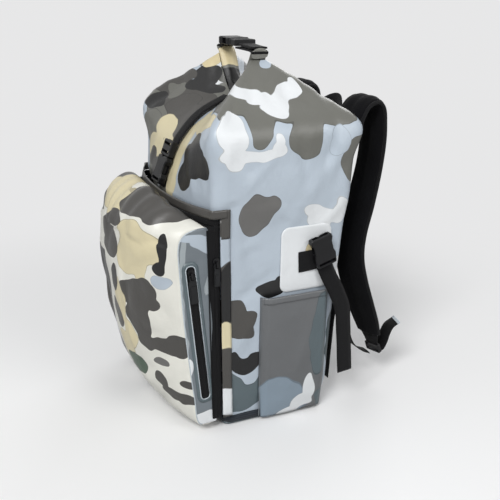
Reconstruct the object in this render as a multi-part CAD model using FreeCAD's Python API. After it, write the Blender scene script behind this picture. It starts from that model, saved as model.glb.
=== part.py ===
import FreeCAD, Part
import math
import os

# Roll-top tackle backpack in coated fabric, with a zipped front compartment.
# Millimetres. +Z up, +X the wearer's right, -Y the front compartment, +Y the
# back with its shoulder straps. The origin is the centre of the flat base.

V = FreeCAD.Vector

# Main bag
HALF_WIDTH = 146.0
BASE_HALF_WIDTH = 141.0
WALL = 2.0
BASE_THICKNESS = 4.0
BAND_TOP = 333.0
SHOULDER = 439.0
CORNER = 9.0
HEM_HEIGHT = 16.0

# Rolled mouth: two ears joined by a buckle above a notch
EAR_X = 60.0
NOTCH_SHARE = 0.2
EAR_TOP = 518.0
NOTCH_TOP = 460.0
ROLL_HALF = 12.0
ROLL_HEIGHT = 12.0

# Front compartment
FLAP_HALF = 143.0
FLAP_WALL = 2.0
FLAP_SWELL_POWER = 2.6
ZIP_TOP = 315.0
ZIP_THICK = 1.6
ZIP_GAP = 0.4
BAND_CORNER_Y = -107.0
BAND_SWELL = 31.0

# Webbing and buckles
WEB = 25.0
WEB_THICK = 1.8
BUCKLE_WIDTH = 35.0
BUCKLE_THICK = 11.0
SOCKET_WIDTH = 25.0
SOCKET_DEPTH = 29.0
SOCKET_HEIGHT = 6.2

# Shoulder straps
STRAP_X = 95.0
STRAP_THICK = 13.0

# Height, half width, front y, back y, forward swell of the middle of the front
BODY_SECTIONS = [
    (BASE_THICKNESS, BASE_HALF_WIDTH, -84, 80, 2),
    (46, HALF_WIDTH, -85, 88, 3),
    (185, HALF_WIDTH, -89, 94, 8),
    (312, HALF_WIDTH, -94, 106, 26),
    (BAND_TOP, HALF_WIDTH, -104, 108, 22),
]
# The gathered top, from the zip band to the mouth: half width and corner radius,
# then (y, z) at the front corner, front middle, back corner and back middle
GATHER = [
    (HALF_WIDTH, 18, (-106, 386), (-112, 372), (114, 386), (111, 372)),
    (HALF_WIDTH, 12, (-106, SHOULDER), (-95, 403), (121, SHOULDER), (106, 406)),
    (104, 6, (-59, 479), (-63, 436), (66, 479), (68, 440)),
    (EAR_X, 3, (-ROLL_HALF, EAR_TOP), (-ROLL_HALF, NOTCH_TOP),
     (ROLL_HALF, EAR_TOP), (ROLL_HALF, NOTCH_TOP)),
]
FRONT_SHARES = [-1, -0.45, -NOTCH_SHARE, NOTCH_SHARE, 0.45, 1]


# ---------------------------------------------------------------- helpers

def box(x0, x1, y0, y1, z0, z1):
    return Part.makeBox(x1 - x0, y1 - y0, z1 - z0, V(x0, y0, z0))


def polygon(points):
    return Part.makePolygon(points + points[:1])


def prism(points, direction):
    """Closed outline pushed along one direction."""
    return Part.Face(polygon(points)).extrude(direction)


def side_prism(outline, x0, x1):
    """Outline given as (y, z), pushed from x0 to x1."""
    return prism([V(x0, y, z) for y, z in outline], V(x1 - x0, 0, 0))


def rounded(solid, direction, radius):
    """Rounds the edges that run along one direction."""
    edges = []
    for edge in solid.Edges:
        run = edge.Vertexes[-1].Point - edge.Vertexes[0].Point
        if run.Length > 0.1 and abs(run.normalize().dot(direction)) > 0.999:
            edges.append(edge)
    return solid.makeFillet(radius, edges)


def mirrored(solid):
    return solid.mirror(V(0, 0, 0), V(1, 0, 0))


def lerp(low, high, share):
    return low + (high - low) * share


def between(table, z):
    """Straight-line value from a list of (z, value)."""
    for (z0, v0), (z1, v1) in zip(table, table[1:]):
        if z <= z1:
            return lerp(v0, v1, (z - z0) / (z1 - z0))
    return table[-1][1]


def patch(a, b, c, d):
    """Four corners as one flat face, or as two triangles when they twist."""
    normal = (b - a).cross(c - a).normalize()
    if abs(normal.dot(d - a)) < 1e-5:
        return [Part.Face(polygon([a, b, c, d]))]
    return [Part.Face(polygon([a, b, c])), Part.Face(polygon([a, c, d]))]


def wall(outer, inner, closed=False):
    """Solid between two grids of points, row by row; closed rows join their ends."""
    count = len(outer[0])
    columns = [(i, (i + 1) % count) for i in range(count if closed else count - 1)]
    faces = []
    for low, high in zip(range(len(outer)), range(1, len(outer))):
        for i, j in columns:
            for grid in (outer, inner):
                faces += patch(grid[low][i], grid[low][j], grid[high][j], grid[high][i])
        if not closed:
            for i in (0, count - 1):
                faces += patch(outer[low][i], outer[high][i], inner[high][i], inner[low][i])
    for row in (0, -1):
        for i, j in columns:
            faces += patch(outer[row][i], outer[row][j], inner[row][j], inner[row][i])
    shell = Part.Shell(faces)
    shell.sewShape()
    solid = Part.Solid(shell)
    return solid.reversed() if solid.Volume < 0 else solid


def ribbon(stations, thickness):
    """Flat band through stations of (centre, width, width direction)."""
    face, back = [], []
    for i, (centre, width, across) in enumerate(stations):
        before = stations[max(i - 1, 0)][0]
        after = stations[min(i + 1, len(stations) - 1)][0]
        along = (after - before).normalize()
        across = (across - along * across.dot(along)).normalize()
        lift = along.cross(across) * (thickness / 2)
        half = across * (width / 2)
        face.append([centre - half + lift, centre + half + lift])
        back.append([centre - half - lift, centre + half - lift])
    return wall(face, back)


# ---------------------------------------------------------------- main bag

def ring(half, radius, front_edge, front_middle, back_edge, back_middle, inset, lean):
    """One turn of the bag; edges and middles are (y, z), corners are rounded."""
    half -= inset
    radius = max(radius - inset, 1.0)
    points = []

    def run(shares, edge, middle, inward):
        for share in shares:
            pull = abs(share) ** 1.6
            y = lerp(middle[0], edge[0], pull) + inward
            z = lerp(middle[1], edge[1], pull) - inset * lean
            points.append(V(share * (half - radius), y, z))

    def corner(side, edge, inward, enter):
        turns = [0, 30, 60, 90] if enter else [90, 60, 30, 0]
        for turn in turns[1:] if enter else turns[:-1]:
            angle = math.radians(turn)
            reach = radius * (1 - math.cos(angle))
            y = edge[0] + inward + (reach if edge[0] < 0 else -reach)
            x = half - radius + radius * math.sin(angle)
            points.append(V(side * x, y, edge[1] - inset * lean))

    run(FRONT_SHARES, front_edge, front_middle, inset)
    corner(1, front_edge, inset, True)
    corner(1, back_edge, -inset, False)
    run(FRONT_SHARES[::-1], back_edge, back_middle, -inset)
    corner(-1, back_edge, -inset, True)
    corner(-1, front_edge, inset, False)
    return points


def bag_rings(inset=0.0):
    rings = []
    for z, half, front, back, swell in BODY_SECTIONS:
        rings.append(ring(half, CORNER, (front, z), (front - swell, z),
                          (back, z), (back, z), inset, 0))
    for level, (half, radius, *profile) in enumerate(GATHER):
        rings.append(ring(half, radius, *profile, inset, min(level, 2) / 2))
    return rings


def back_y(z):
    return between([(s[0], s[3]) for s in BODY_SECTIONS] + [(386, 114), (SHOULDER, 121)], z)


def back_layer(z0, z1, inner, outer, bevel=0):
    """Outline (y, z) of a layer that follows the back wall."""
    levels = [s[0] for s in BODY_SECTIONS if z0 < s[0] < z1]
    near = [(back_y(z) + inner, z) for z in [z0] + levels + [z1]]
    far = [(back_y(z) + outer, z) for z in [z0 + bevel] + levels + [z1 - bevel]]
    return near + far[::-1]


def make_bag(nodes):
    """Panels of the bag: walls, base, hem, rolled mouth."""
    outer = bag_rings()
    inner = bag_rings(WALL)
    count = len(outer[0])
    run = len(FRONT_SHARES)
    back = count // 2
    top = len(BODY_SECTIONS) + 2
    panels = {"front_panel": range(0, run), "side_panel_right": range(run - 1, back + 1),
              "back_panel": range(back, back + run),
              "side_panel_left": range(back + run - 1, count + 1)}
    for name, columns in panels.items():
        nodes[name] = wall([[row[i % count] for i in columns] for row in outer[:top]],
                           [[row[i % count] for i in columns] for row in inner[:top]])
    nodes["roll_top"] = wall(outer[top - 1:], inner[top - 1:], closed=True)

    foot = outer[0]
    nodes["base_panel"] = prism([V(p.x, p.y, 0) for p in foot], V(0, 0, BASE_THICKNESS))
    share = (HEM_HEIGHT - BASE_THICKNESS) / (BODY_SECTIONS[1][0] - BASE_THICKNESS)

    def hem_rows(inset):
        rings = bag_rings(inset)
        return [rings[0], [p + (q - p) * share for p, q in zip(rings[0], rings[1])]]
    nodes["base_hem"] = wall(hem_rows(-1.6), hem_rows(-0.12), closed=True)

    low = [[V(p.x, side, p.z) for side in (-ROLL_HALF, ROLL_HALF)] for p in outer[-1][:run]]
    high = [[V(p.x, side, p.z + ROLL_HEIGHT) for side in (3 - ROLL_HALF, ROLL_HALF - 3)]
            for p in outer[-1][:run]]
    nodes["mouth_roll"] = wall(high, low)


# ---------------------------------------------------------------- front compartment

# Side view (y, z) of the compartment from its hinge edge round to the zip:
# at the middle, and at the gusset seam on the side
POCKET_MIDDLE = [(-97, 14), (-145, 15), (-178, 60), (-193, 113), (-204, 181),
                 (-209, 245), (-203, 292), (-187, 322), (-163, 336), (-146, 330),
                 (-138.2, 311)]
POCKET_SIDE = [(-97, 17), (-124, 18), (-131, 60), (-138, 113), (-145, 181),
               (-150, 245), (-152, 285), (-147, 303), (-134, 311), (-118, 313),
               (-107.2, 311)]
POCKET_X = [0, 60, 100, 128, FLAP_HALF]


def swell(x):
    """Share of the forward swell left at a distance from the middle."""
    return 1 - abs(x / FLAP_HALF) ** FLAP_SWELL_POWER


def pocket_row(x, inset):
    """Profile of the compartment's cover at one x, or of its inside face."""
    k = swell(x)
    points = [V(x, lerp(q[0], p[0], k), lerp(q[1], p[1], k))
              for p, q in zip(POCKET_MIDDLE, POCKET_SIDE)]
    inner = []
    for i, point in enumerate(points):
        before = points[max(i - 1, 0)]
        after = points[min(i + 1, len(points) - 1)]
        inward = (after - before).normalize().cross(V(1, 0, 0))
        inner.append(point + inward * inset)
    return inner


def band_row(z, corner_y, bow, offset):
    """Line that runs across the front at one height."""
    xs = [-x for x in POCKET_X[::-1]] + POCKET_X[1:]
    return [V(x, corner_y - bow * swell(x) + offset, z) for x in xs]


def band(low, high, thickness):
    """Thin band across the front between two (z, corner y, bow) lines."""
    return wall([band_row(*low, 0), band_row(*high, 0)],
                [band_row(*low, thickness), band_row(*high, thickness)])


def leg(plan_low, plan_high, z0, z1):
    """Strip up one side, between two plan outlines."""
    low = [V(x, y, z0) for x, y in plan_low]
    high = [V(x, y, z1) for x, y in plan_high]
    half = len(low) // 2
    return wall([low[:half], high[:half]], [low[:half - 1:-1], high[:half - 1:-1]])


def strip_plan(x0, x1, y0, y1):
    return [(x0, y0), (x0, y1), (x1, y1), (x1, y0)]


def make_flange():
    """Covering welt beside the zip legs and above its top run."""
    shape = [(147.3, 0), (147.3, -8), (146.2, -14.5), (144.6, -14.5), (146, -8.5), (146, 0)]
    side = leg([(x, y - 74) for x, y in shape], [(x, y - 80) for x, y in shape], 20, 323)
    top = band((323, BAND_CORNER_Y, BAND_SWELL), (BAND_TOP + 3, -105.7, 22), 1.2)
    corner = box(FLAP_HALF, 147.3, BAND_CORNER_Y, -80, 323, 332)
    rings = bag_rings()
    corner = corner.cut(prism([V(p.x, p.y, 300) for p in rings[4]], V(0, 0, 50)))
    return side.fuse(mirrored(side)).fuse(top).fuse(corner).fuse(mirrored(corner))


def make_zip_half(low, high, z0, z1):
    """One zip tape: two legs, each end given as (back y, front y), and the run across."""
    side = leg(strip_plan(FLAP_HALF, 144.6, *low), strip_plan(FLAP_HALF, 144.6, *high), 20, z1)
    line = (BAND_CORNER_Y, BAND_SWELL)
    top = band((z0, *line), (z1, *line), ZIP_THICK)
    corner = box(FLAP_HALF, 144.6, BAND_CORNER_Y, max(high[1], BAND_CORNER_Y) + 2, z0, z1)
    return side.fuse(mirrored(side)).fuse(top).fuse(corner).fuse(mirrored(corner))


def make_front_compartment(nodes):
    side = FLAP_HALF - FLAP_WALL
    xs = [-side] + [-x for x in POCKET_X[-2:0:-1]] + POCKET_X[:-1] + [side]
    nodes["compartment_cover"] = wall([pocket_row(x, 0) for x in xs],
                                      [pocket_row(x, FLAP_WALL) for x in xs])
    gusset = side_prism(POCKET_SIDE, side, FLAP_HALF)
    nodes["gusset_right"] = gusset
    nodes["gusset_left"] = mirrored(gusset)
    nodes["zip_flange"] = make_flange()
    nodes["body_zip_tape"] = make_zip_half((-88.5, -93.5), (-94.5, -99.7),
                                           ZIP_TOP + ZIP_GAP, 323)
    nodes["flap_zip_tape"] = make_zip_half((-93.9, -100.2), (-100.1, -109.1), 307, ZIP_TOP)


# ---------------------------------------------------------------- zip sliders

def zip_slider():
    """Slider body over the coil; z along the zip, x outward from the tape."""
    plan = [V(0, -3.6, -7), V(0, 3.6, -7), V(0, 5, 5), V(0, 2.6, 8), V(0, -2.6, 8),
            V(0, -5, 5)]
    plate = rounded(prism(plan, V(2.6, 0, 0)), V(1, 0, 0), 1.2)
    bridge = box(2.6, 7.0, -1.4, 1.4, -4.4, 4.4).cut(box(2.6, 5.4, -2, 2, -2.8, 2.8))
    return plate.fuse(bridge)


def zip_pull(width, length):
    """Pull tab; its top bar passes through the slider's bridge."""
    bar = Part.makeCylinder(0.9, 5, V(4.0, -2.5, 0), V(0, 1, 0))
    loop = box(3.2, 4.8, -3.9, 3.9, -8, 0.8).cut(box(3, 5, -2.3, 2.3, -6.4, 1))
    tab = box(3.0, 5.0, -width / 2, width / 2, -8 - length, -8)
    tab = rounded(tab, V(1, 0, 0), 1.8)
    grip = box(2.4, 5.6, -width / 2 + 1.5, width / 2 - 1.5, -5 - length, -15)
    return loop.fuse(bar).fuse(tab).fuse(grip)


def placed(shape, at, tilt):
    """Turned about X by tilt degrees, then moved to a point."""
    copy = shape.copy()
    copy.Placement = FreeCAD.Placement(at, FreeCAD.Rotation(V(1, 0, 0), tilt))
    return copy


# Zip in the right-hand gusset: its middle, length and lean from upright
GUSSET_ZIP_AT = V(FLAP_HALF, -125.5, 160)
GUSSET_ZIP_LEAN = 6.1
GUSSET_ZIP_HALF = 103.0


def along_gusset_zip(offset):
    lean = math.radians(GUSSET_ZIP_LEAN)
    return GUSSET_ZIP_AT + V(0, -math.sin(lean), math.cos(lean)) * offset


def make_zips(nodes):
    front_at = V(145.0, -99.2, 262)
    nodes["front_zip_slider"] = placed(zip_slider(), front_at, 1)
    nodes["front_zip_pull"] = placed(zip_pull(8.4, 24), front_at, 1)

    frame = box(0, 0.8, -12, 12, -GUSSET_ZIP_HALF - 7, GUSSET_ZIP_HALF + 7)
    frame = rounded(frame, V(1, 0, 0), 5)
    slot = box(-1, 2, -6, 6, -GUSSET_ZIP_HALF, GUSSET_ZIP_HALF)
    tape = box(0, 1.2, -5.8, 5.8, -GUSSET_ZIP_HALF, GUSSET_ZIP_HALF)
    nodes["side_zip_welt"] = placed(frame.cut(slot), GUSSET_ZIP_AT, GUSSET_ZIP_LEAN)
    nodes["side_zip_tape"] = placed(tape, GUSSET_ZIP_AT, GUSSET_ZIP_LEAN)
    slider_at = along_gusset_zip(GUSSET_ZIP_HALF - 12) + V(1.6, 0, 0)
    nodes["side_zip_slider"] = placed(zip_slider(), slider_at, GUSSET_ZIP_LEAN)
    nodes["side_zip_pull"] = placed(zip_pull(11, 33), slider_at, GUSSET_ZIP_LEAN)


# ---------------------------------------------------------------- side-release buckles

# Buckles are drawn along +x with their width in y and thickness in z.
# The mouth of the socket is at x = 0; the webbing bars lie at the outer ends.

def slotted(solid, x, half):
    """Cuts one webbing slot through the thickness."""
    return solid.cut(box(x - 2, x + 2, -half, half, -20, 20))


def buckle_socket(length):
    """Female half: waisted body with side windows for the arms."""
    half = BUCKLE_WIDTH / 2
    outline = [V(0, -half + 1, 0), V(-6, -half, 0), V(-12, -half + 2.6, 0),
               V(-24, -half + 2.6, 0), V(-31, -half + 0.5, 0), V(-length, -half + 2.5, 0)]
    outline += [V(p.x, -p.y, 0) for p in outline[::-1]]
    body = rounded(prism(outline, V(0, 0, BUCKLE_THICK)), V(0, 0, 1), 2.5)
    body.translate(V(0, 0, -BUCKLE_THICK / 2))
    body = body.makeChamfer(1.4, [e for e in body.Edges
                                  if abs(abs(e.CenterOfMass.z) - BUCKLE_THICK / 2) < 0.01])
    socket_half = SOCKET_WIDTH / 2
    body = body.cut(box(-SOCKET_DEPTH, 1, -socket_half, socket_half,
                        -SOCKET_HEIGHT / 2, SOCKET_HEIGHT / 2))
    window = rounded(box(-25, -11, -30, 30, -4, 4), V(0, 1, 0), 1.5)
    window = window.cut(box(-30, 0, 7.5 - half, half - 7.5, -9, 9))
    body = body.cut(window)
    thumb = Part.makeCylinder(5.2, 20, V(3.2, 0, 2), V(0, 0, 1))
    return slotted(body.cut(thumb), 5.5 - length, WEB / 2 + 0.8)


def buckle_plug(length):
    """Male half: ladder base with two spring arms and a guide tongue."""
    half = BUCKLE_WIDTH / 2
    base = [V(0.4, -half + 1, 0), V(7, -half + 2.2, 0), V(length, -half + 1, 0)]
    base += [V(p.x, -p.y, 0) for p in base[::-1]]
    body = rounded(prism(base, V(0, 0, 9)), V(0, 0, 1), 2)
    body.translate(V(0, 0, -4.5))
    body = body.makeChamfer(1.2, [e for e in body.Edges
                                  if abs(abs(e.CenterOfMass.z) - 4.5) < 0.01])
    body = slotted(body, 6.5, WEB / 2 + 0.8)
    body = slotted(body, length - 5.5, WEB / 2 + 0.8)
    arm = [V(1, 7.2, 0), V(-10, 7.4, 0), V(-20, 8.2, 0), V(-27, 9.6, 0), V(-27.5, 11.4, 0),
           V(-24, 12.1, 0), V(-13, 12.1, 0), V(-12.4, 10.8, 0), V(1, 10.8, 0)]
    arm = prism(arm, V(0, 0, 5.2))
    arm.translate(V(0, 0, -2.6))
    tongue = box(-24, 1, -2.4, 2.4, -2.2, 2.2)
    other = arm.mirror(V(0, 0, 0), V(0, 1, 0))
    return body.fuse(arm).fuse(other).fuse(rounded(tongue, V(0, 0, 1), 1.2))


def buckle_at(shape, at, along, across):
    """Places a buckle with its x along one direction and y along another."""
    along = V(along).normalize()
    across = V(across).normalize()
    normal = along.cross(across)
    copy = shape.copy()
    copy.Placement = FreeCAD.Placement(FreeCAD.Matrix(
        along.x, across.x, normal.x, at.x,
        along.y, across.y, normal.y, at.y,
        along.z, across.z, normal.z, at.z, 0, 0, 0, 1))
    return copy


def make_top_buckle(nodes):
    """Buckle that holds the two ears together, on a tab from each ear."""
    top = EAR_TOP + ROLL_HEIGHT
    mouth = V(-10, 0, top + 2.2 + BUCKLE_THICK / 2)
    nodes["top_buckle_female"] = buckle_at(buckle_socket(40), mouth, V(1, 0, 0), V(0, 1, 0))
    nodes["top_buckle_male"] = buckle_at(buckle_plug(24), mouth, V(1, 0, 0), V(0, 1, 0))
    half = WEB / 2
    nodes["closure_tab_right"] = box(6, 64, -half, half, top, top + WEB_THICK)
    nodes["closure_tab_left"] = box(-64, -38, -half, half, top, top + 2.2)


def front_line(proud):
    """Middle of the front panel from the band to the notch, as (y, z), set proud."""
    column = [row[2] for row in bag_rings()[len(BODY_SECTIONS) - 1:]]
    column[-1] = column[-2] + (column[-1] - column[-2]) * 0.85
    points = []
    for i, point in enumerate(column):
        run = column[min(i + 1, len(column) - 1)] - column[max(i - 1, 0)]
        out = V(0, -run.z, run.y).normalize()
        points.append((point.y + out.y * proud, point.z + out.z * proud))
    return points


def make_front_strap(nodes):
    """Strap from the notch down to an anchor above the zip, with its buckle."""
    half = WEB / 2
    inner = front_line(0.2)
    outer = front_line(0.2 + WEB_THICK)
    nodes["front_strap"] = side_prism(inner[1:] + outer[:0:-1], -half, half)

    low, high = V(0, *inner[0]), V(0, *inner[2])
    slope = (high - low).normalize()
    normal = V(0, -slope.z, slope.y)
    seat = 3.0 + WEB_THICK
    mouth = low + slope * 46 + normal * (seat + BUCKLE_THICK / 2)
    foot = [low + slope * 3, low + slope * 24 + normal * 1.6, low + slope * 24 + normal * seat,
            low + slope * 3 + normal * WEB_THICK]
    nodes["front_anchor"] = side_prism([(p.y, p.z) for p in foot], -half, half)
    across = V(-1, 0, 0)
    nodes["front_buckle_female"] = buckle_at(buckle_socket(40), mouth, slope, across)
    nodes["front_buckle_male"] = buckle_at(buckle_plug(24), mouth, slope, across)


# ---------------------------------------------------------------- sides

SLIP_FRONT = -32.0
SLIP_BACK = 78.0
SLIP_TOP = 201.0
SIDE = HALF_WIDTH


def make_slip_pocket(nodes):
    """Open-topped pocket sewn to the side, with a hem round its mouth."""
    levels = [(5, 3, 5), (50, 9, 0), (130, 11, 0), (SLIP_TOP, 9.5, 0)]

    def rows(inset, grow):
        result = []
        for z, depth, gather in levels:
            front = SLIP_FRONT + gather + inset
            back = SLIP_BACK - gather - inset
            x = SIDE + depth - inset
            result.append([V(SIDE, front, z), V(x, front + 3, z), V(x, back - 3, z),
                           V(SIDE, back, z)])
        result[0] = [p + V(0, 0, grow) for p in result[0]]
        return result
    nodes["slip_pocket_right"] = wall(rows(0, 0), rows(1.6, 0))
    def hem_rows(proud):
        return [[V(SIDE + depth + proud, y, z) for y in (SLIP_FRONT + 3, SLIP_BACK - 3)]
                for z, depth in ((SLIP_TOP - 9, 9.69), (SLIP_TOP, 9.5))]
    nodes["slip_hem_right"] = wall(hem_rows(1.2), hem_rows(0))


def make_side_fittings(nodes):
    """Reinforcing patch, webbing anchor, hanging buckle and its tail."""
    patch = rounded(box(SIDE, SIDE + 1, -2, 78, 203, 300), V(1, 0, 0), 12)
    nodes["side_patch_right"] = patch
    anchor = box(SIDE + 1, SIDE + 2.8, 26, 62, 231, 263)
    nodes["side_anchor_right"] = rounded(anchor, V(1, 0, 0), 1.5)
    lean = math.radians(17)
    up = V(0, -math.sin(lean), math.cos(lean))
    across = V(0, math.cos(lean), math.sin(lean))
    bar = V(SIDE + 9.5, 68, 240)
    normal_out = V(1, 0, 0)
    socket = buckle_at(buckle_socket(46), bar + up * 46, up, normal_out.cross(up) * -1)
    nodes["side_buckle_right"] = socket
    plug = buckle_at(buckle_plug(24), bar + up * 26, up * -1, normal_out.cross(up))
    nodes["side_buckle_left"] = mirrored(plug)
    x = SIDE + 13.5
    tail = [(V(x - 8.6, 66, 237), WEB, across), (V(x + 1, 82, 202), WEB, across),
            (V(x + 1, 96, 168), WEB, V(0, 1, 0.2)), (V(x - 1, 100, 160), WEB, V(0, 1, 0.1)),
            (V(x, 103, 110), WEB, V(0, 1, 0.1)), (V(x - 1, 108, 60), WEB, V(0, 1, 0.2))]
    nodes["side_strap_tail_right"] = ribbon(tail, WEB_THICK)


# ---------------------------------------------------------------- back and shoulder straps

# Middle line of a shoulder strap: y, z, width and backward turn of its outer edge in degrees
STRAP_LINE = [
    (129.8, 412, 64, 0), (132, 435, 64, 0), (142, 455, 64, 0), (157, 462, 64, 0),
    (168, 453, 64, 0), (172, 430, 64, 0), (173, 400, 64, 0), (169, 359, 64, 0),
    (159, 309, 64, 3), (148, 266, 63, 7), (145, 228, 62, 11), (153, 190, 60, 15),
    (168, 147, 58, 17), (183, 109, 54, 17), (193, 82, 46, 15),
]


def make_straps(nodes):
    stations = []
    for y, z, width, twist in STRAP_LINE:
        turn = math.radians(twist)
        across = V(math.cos(turn), math.sin(turn), 0)
        stations.append((V(STRAP_X, y, z), width, across))
    nodes["shoulder_strap_right"] = ribbon(stations, STRAP_THICK)

    end = stations[-1][0]
    down = (end - stations[-2][0]).normalize()
    across = stations[-1][2]
    lock_at = end + down * 30
    tab = [(end, 40, across), (end + down * 22, 26, across)]
    nodes["strap_end_tab_right"] = ribbon(tab, 3)
    lock = rounded(box(-8, 9, -15, 15, -2.5, 2.5), V(0, 0, 1), 3)
    for slot_x in (-4, 4.5):
        lock = slotted(lock, slot_x, 12.8)
    nodes["ladder_lock_right"] = buckle_at(lock, lock_at, down, across)
    tail = [(lock_at + down * 6 + V(0, 6.2, 1), 22, across),
            (V(STRAP_X + 3, 220, 66), 22, across), (V(STRAP_X + 4, 226, 86), 22, across),
            (V(STRAP_X + 6, 242, 98), 22, across)]
    nodes["webbing_tail_right"] = ribbon(tail, WEB_THICK)
    lower = [(V(124, 90.5, 34), 25, V(1, 0, 0)), (V(124, 95, 104), 25, V(1, 0, 0)),
             (V(122, 101, 150), 25, V(1, 0, 0)), (V(119, 114, 171), 25, V(1, 0, 0)),
             (V(113, 128, 152), 24, V(1, 0, 0)), (V(105, 139, 112), 23, V(1, 0, 0)),
             (V(99, 153, 78), 22, V(1, 0, 0)), (V(95, 173, 57), 22, V(1, 0, 0)),
             (V(95, 190, 48), 22, V(1, 0, 0))]
    nodes["lower_webbing_right"] = ribbon(lower, WEB_THICK)
    nodes["corner_tab_right"] = side_prism(back_layer(26, 66, 0, 2.4), 104, 126)


def make_back(nodes):
    """Frame sheet inside, padded panel, yoke and grab handle outside."""
    nodes["frame_sheet"] = side_prism(back_layer(14, 331, -WALL - 2.75, -WALL - 0.15), -112, 112)
    nodes["back_pad"] = side_prism(back_layer(34, 396, 0, 12, 9), -100, 100)
    nodes["shoulder_yoke"] = side_prism(back_layer(399, 421, 0, 4), -132, 132)
    half_loop = [(-38, 123.4, 408), (-37.5, 133, 408), (-33, 148, 422), (-20, 161, 439)]
    arch = [V(*p) for p in half_loop] + [V(0, 166, 446)]
    arch += [V(-x, y, z) for x, y, z in half_loop[::-1]]
    nodes["grab_handle"] = ribbon([(p, 24, V(0, 0, 1)) for p in arch], 4)


# ---------------------------------------------------------------- build

PAIRED = ["slip_pocket", "slip_hem", "side_patch", "side_anchor", "side_strap_tail",
          "shoulder_strap", "strap_end_tab", "ladder_lock", "webbing_tail",
          "lower_webbing", "corner_tab"]


def build():
    nodes = {}
    make_bag(nodes)
    make_front_compartment(nodes)
    make_zips(nodes)
    make_top_buckle(nodes)
    make_front_strap(nodes)
    make_slip_pocket(nodes)
    make_side_fittings(nodes)
    make_straps(nodes)
    make_back(nodes)
    for name in PAIRED:
        nodes[name + "_left"] = mirrored(nodes[name + "_right"])
    return nodes


os.makedirs("parts", exist_ok=True)
for name, shape in build().items():
    shape.exportStep("parts/" + name + ".step")
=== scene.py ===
import math
import bmesh
import bpy
from mathutils import Matrix, Vector, noise


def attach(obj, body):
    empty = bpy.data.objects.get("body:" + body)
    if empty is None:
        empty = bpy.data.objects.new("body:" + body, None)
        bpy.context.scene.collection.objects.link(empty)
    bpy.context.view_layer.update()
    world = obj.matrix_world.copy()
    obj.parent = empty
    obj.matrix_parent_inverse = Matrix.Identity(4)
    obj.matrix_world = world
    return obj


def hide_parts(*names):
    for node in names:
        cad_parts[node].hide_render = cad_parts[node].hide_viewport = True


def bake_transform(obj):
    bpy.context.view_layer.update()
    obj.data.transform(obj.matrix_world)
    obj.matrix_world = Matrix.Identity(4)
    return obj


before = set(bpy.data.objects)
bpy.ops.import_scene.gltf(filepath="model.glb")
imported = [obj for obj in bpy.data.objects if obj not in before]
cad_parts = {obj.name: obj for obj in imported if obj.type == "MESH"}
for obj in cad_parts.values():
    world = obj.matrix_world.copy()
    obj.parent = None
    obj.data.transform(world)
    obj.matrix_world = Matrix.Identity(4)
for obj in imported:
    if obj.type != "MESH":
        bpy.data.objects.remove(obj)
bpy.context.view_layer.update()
SIDES = (("right", 1), ("left", -1))
WIDE, DEEP, TALL = Vector((1, 0, 0)), Vector((0, 1, 0)), Vector((0, 0, 1))


def add_node(tree, kind, links=(), **settings):
    """A shader node with its settings; links are (input, socket or value)."""
    made = tree.nodes.new("ShaderNode" + kind)
    for key, value in settings.items():
        setattr(made, key, value)
    for where, what in links:
        if isinstance(what, bpy.types.NodeSocket):
            tree.links.new(what, made.inputs[where])
        else:
            made.inputs[where].default_value = what
    return made


def arithmetic(tree, operation, *values):
    return add_node(tree, "Math", list(enumerate(values)), operation=operation).outputs[0]


def blended(tree, share, low, high):
    return add_node(tree, "Mix", ((0, share), (6, low), (7, high)), data_type="RGBA").outputs[2]


def paint(red, green, blue):
    """A colour given as it looks, from 0 to 255, as the shader needs it."""
    return tuple(((v / 255 + 0.055) / 1.055) ** 2.4 if v > 10 else v / 255 / 12.92
                 for v in (red, green, blue)) + (1.0,)


def new_material(name):
    """A material with its tree and its shader."""
    material = bpy.data.materials.new(name)
    material.use_nodes = True
    return material, material.node_tree, material.node_tree.nodes["Principled BSDF"]


def clouds(tree, place, scale, detail):
    """Soft noise at a place, as one value."""
    return add_node(tree, "TexNoise", (("Vector", place), ("Scale", scale), ("Detail", detail))).outputs[0]


def ramp(beyond, width):
    """Share from 0 to 1 that a distance has covered of a width."""
    return min(1, max(0, beyond / width))


def between_levels(levels, z):
    """Values at a height in a table whose rows begin with their height."""
    for low, high in zip(levels, levels[1:]):
        if z <= high[0] + 1e-6:
            t = (z - low[0]) / (high[0] - low[0])
            return [a + (b - a) * t for a, b in zip(low[1:], high[1:])]


def finish_piece(piece, body, slot, material, *stands_for):
    """Material, body and hidden solids of one finished piece; the slot argument is not used."""
    piece.data.materials.clear()
    piece.data.materials.append(material)
    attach(piece, body)
    if stands_for:
        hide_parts(*stands_for)


# Studio: a camera a little above the right-hand front corner, a pale floor,
# one large soft key lamp, a fill and an even world. None of it is the bag.
VIEW_AZIMUTH = math.radians(64.9)
VIEW_ELEVATION = math.radians(19.9)
VIEW_ROLL = math.radians(1.0)
CAMERA_AT = Vector((1.0141, -0.4558, 0.6218))

toward = Vector((math.sin(VIEW_AZIMUTH) * math.cos(VIEW_ELEVATION),
                 -math.cos(VIEW_AZIMUTH) * math.cos(VIEW_ELEVATION), math.sin(VIEW_ELEVATION)))
level = Vector((math.cos(VIEW_AZIMUTH), math.sin(VIEW_AZIMUTH), 0))
upright = toward.cross(level)
right = level * math.cos(VIEW_ROLL) + upright * math.sin(VIEW_ROLL)
above = upright * math.cos(VIEW_ROLL) - level * math.sin(VIEW_ROLL)
bpy.ops.object.camera_add(location=CAMERA_AT)
camera = bpy.context.object
camera.rotation_euler = Matrix((right, above, toward)).transposed().to_euler()
camera.data.lens = 53.7
camera.data.sensor_width = 36
bpy.context.scene.camera = camera
bpy.context.scene.view_settings.view_transform = "Standard"

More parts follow.
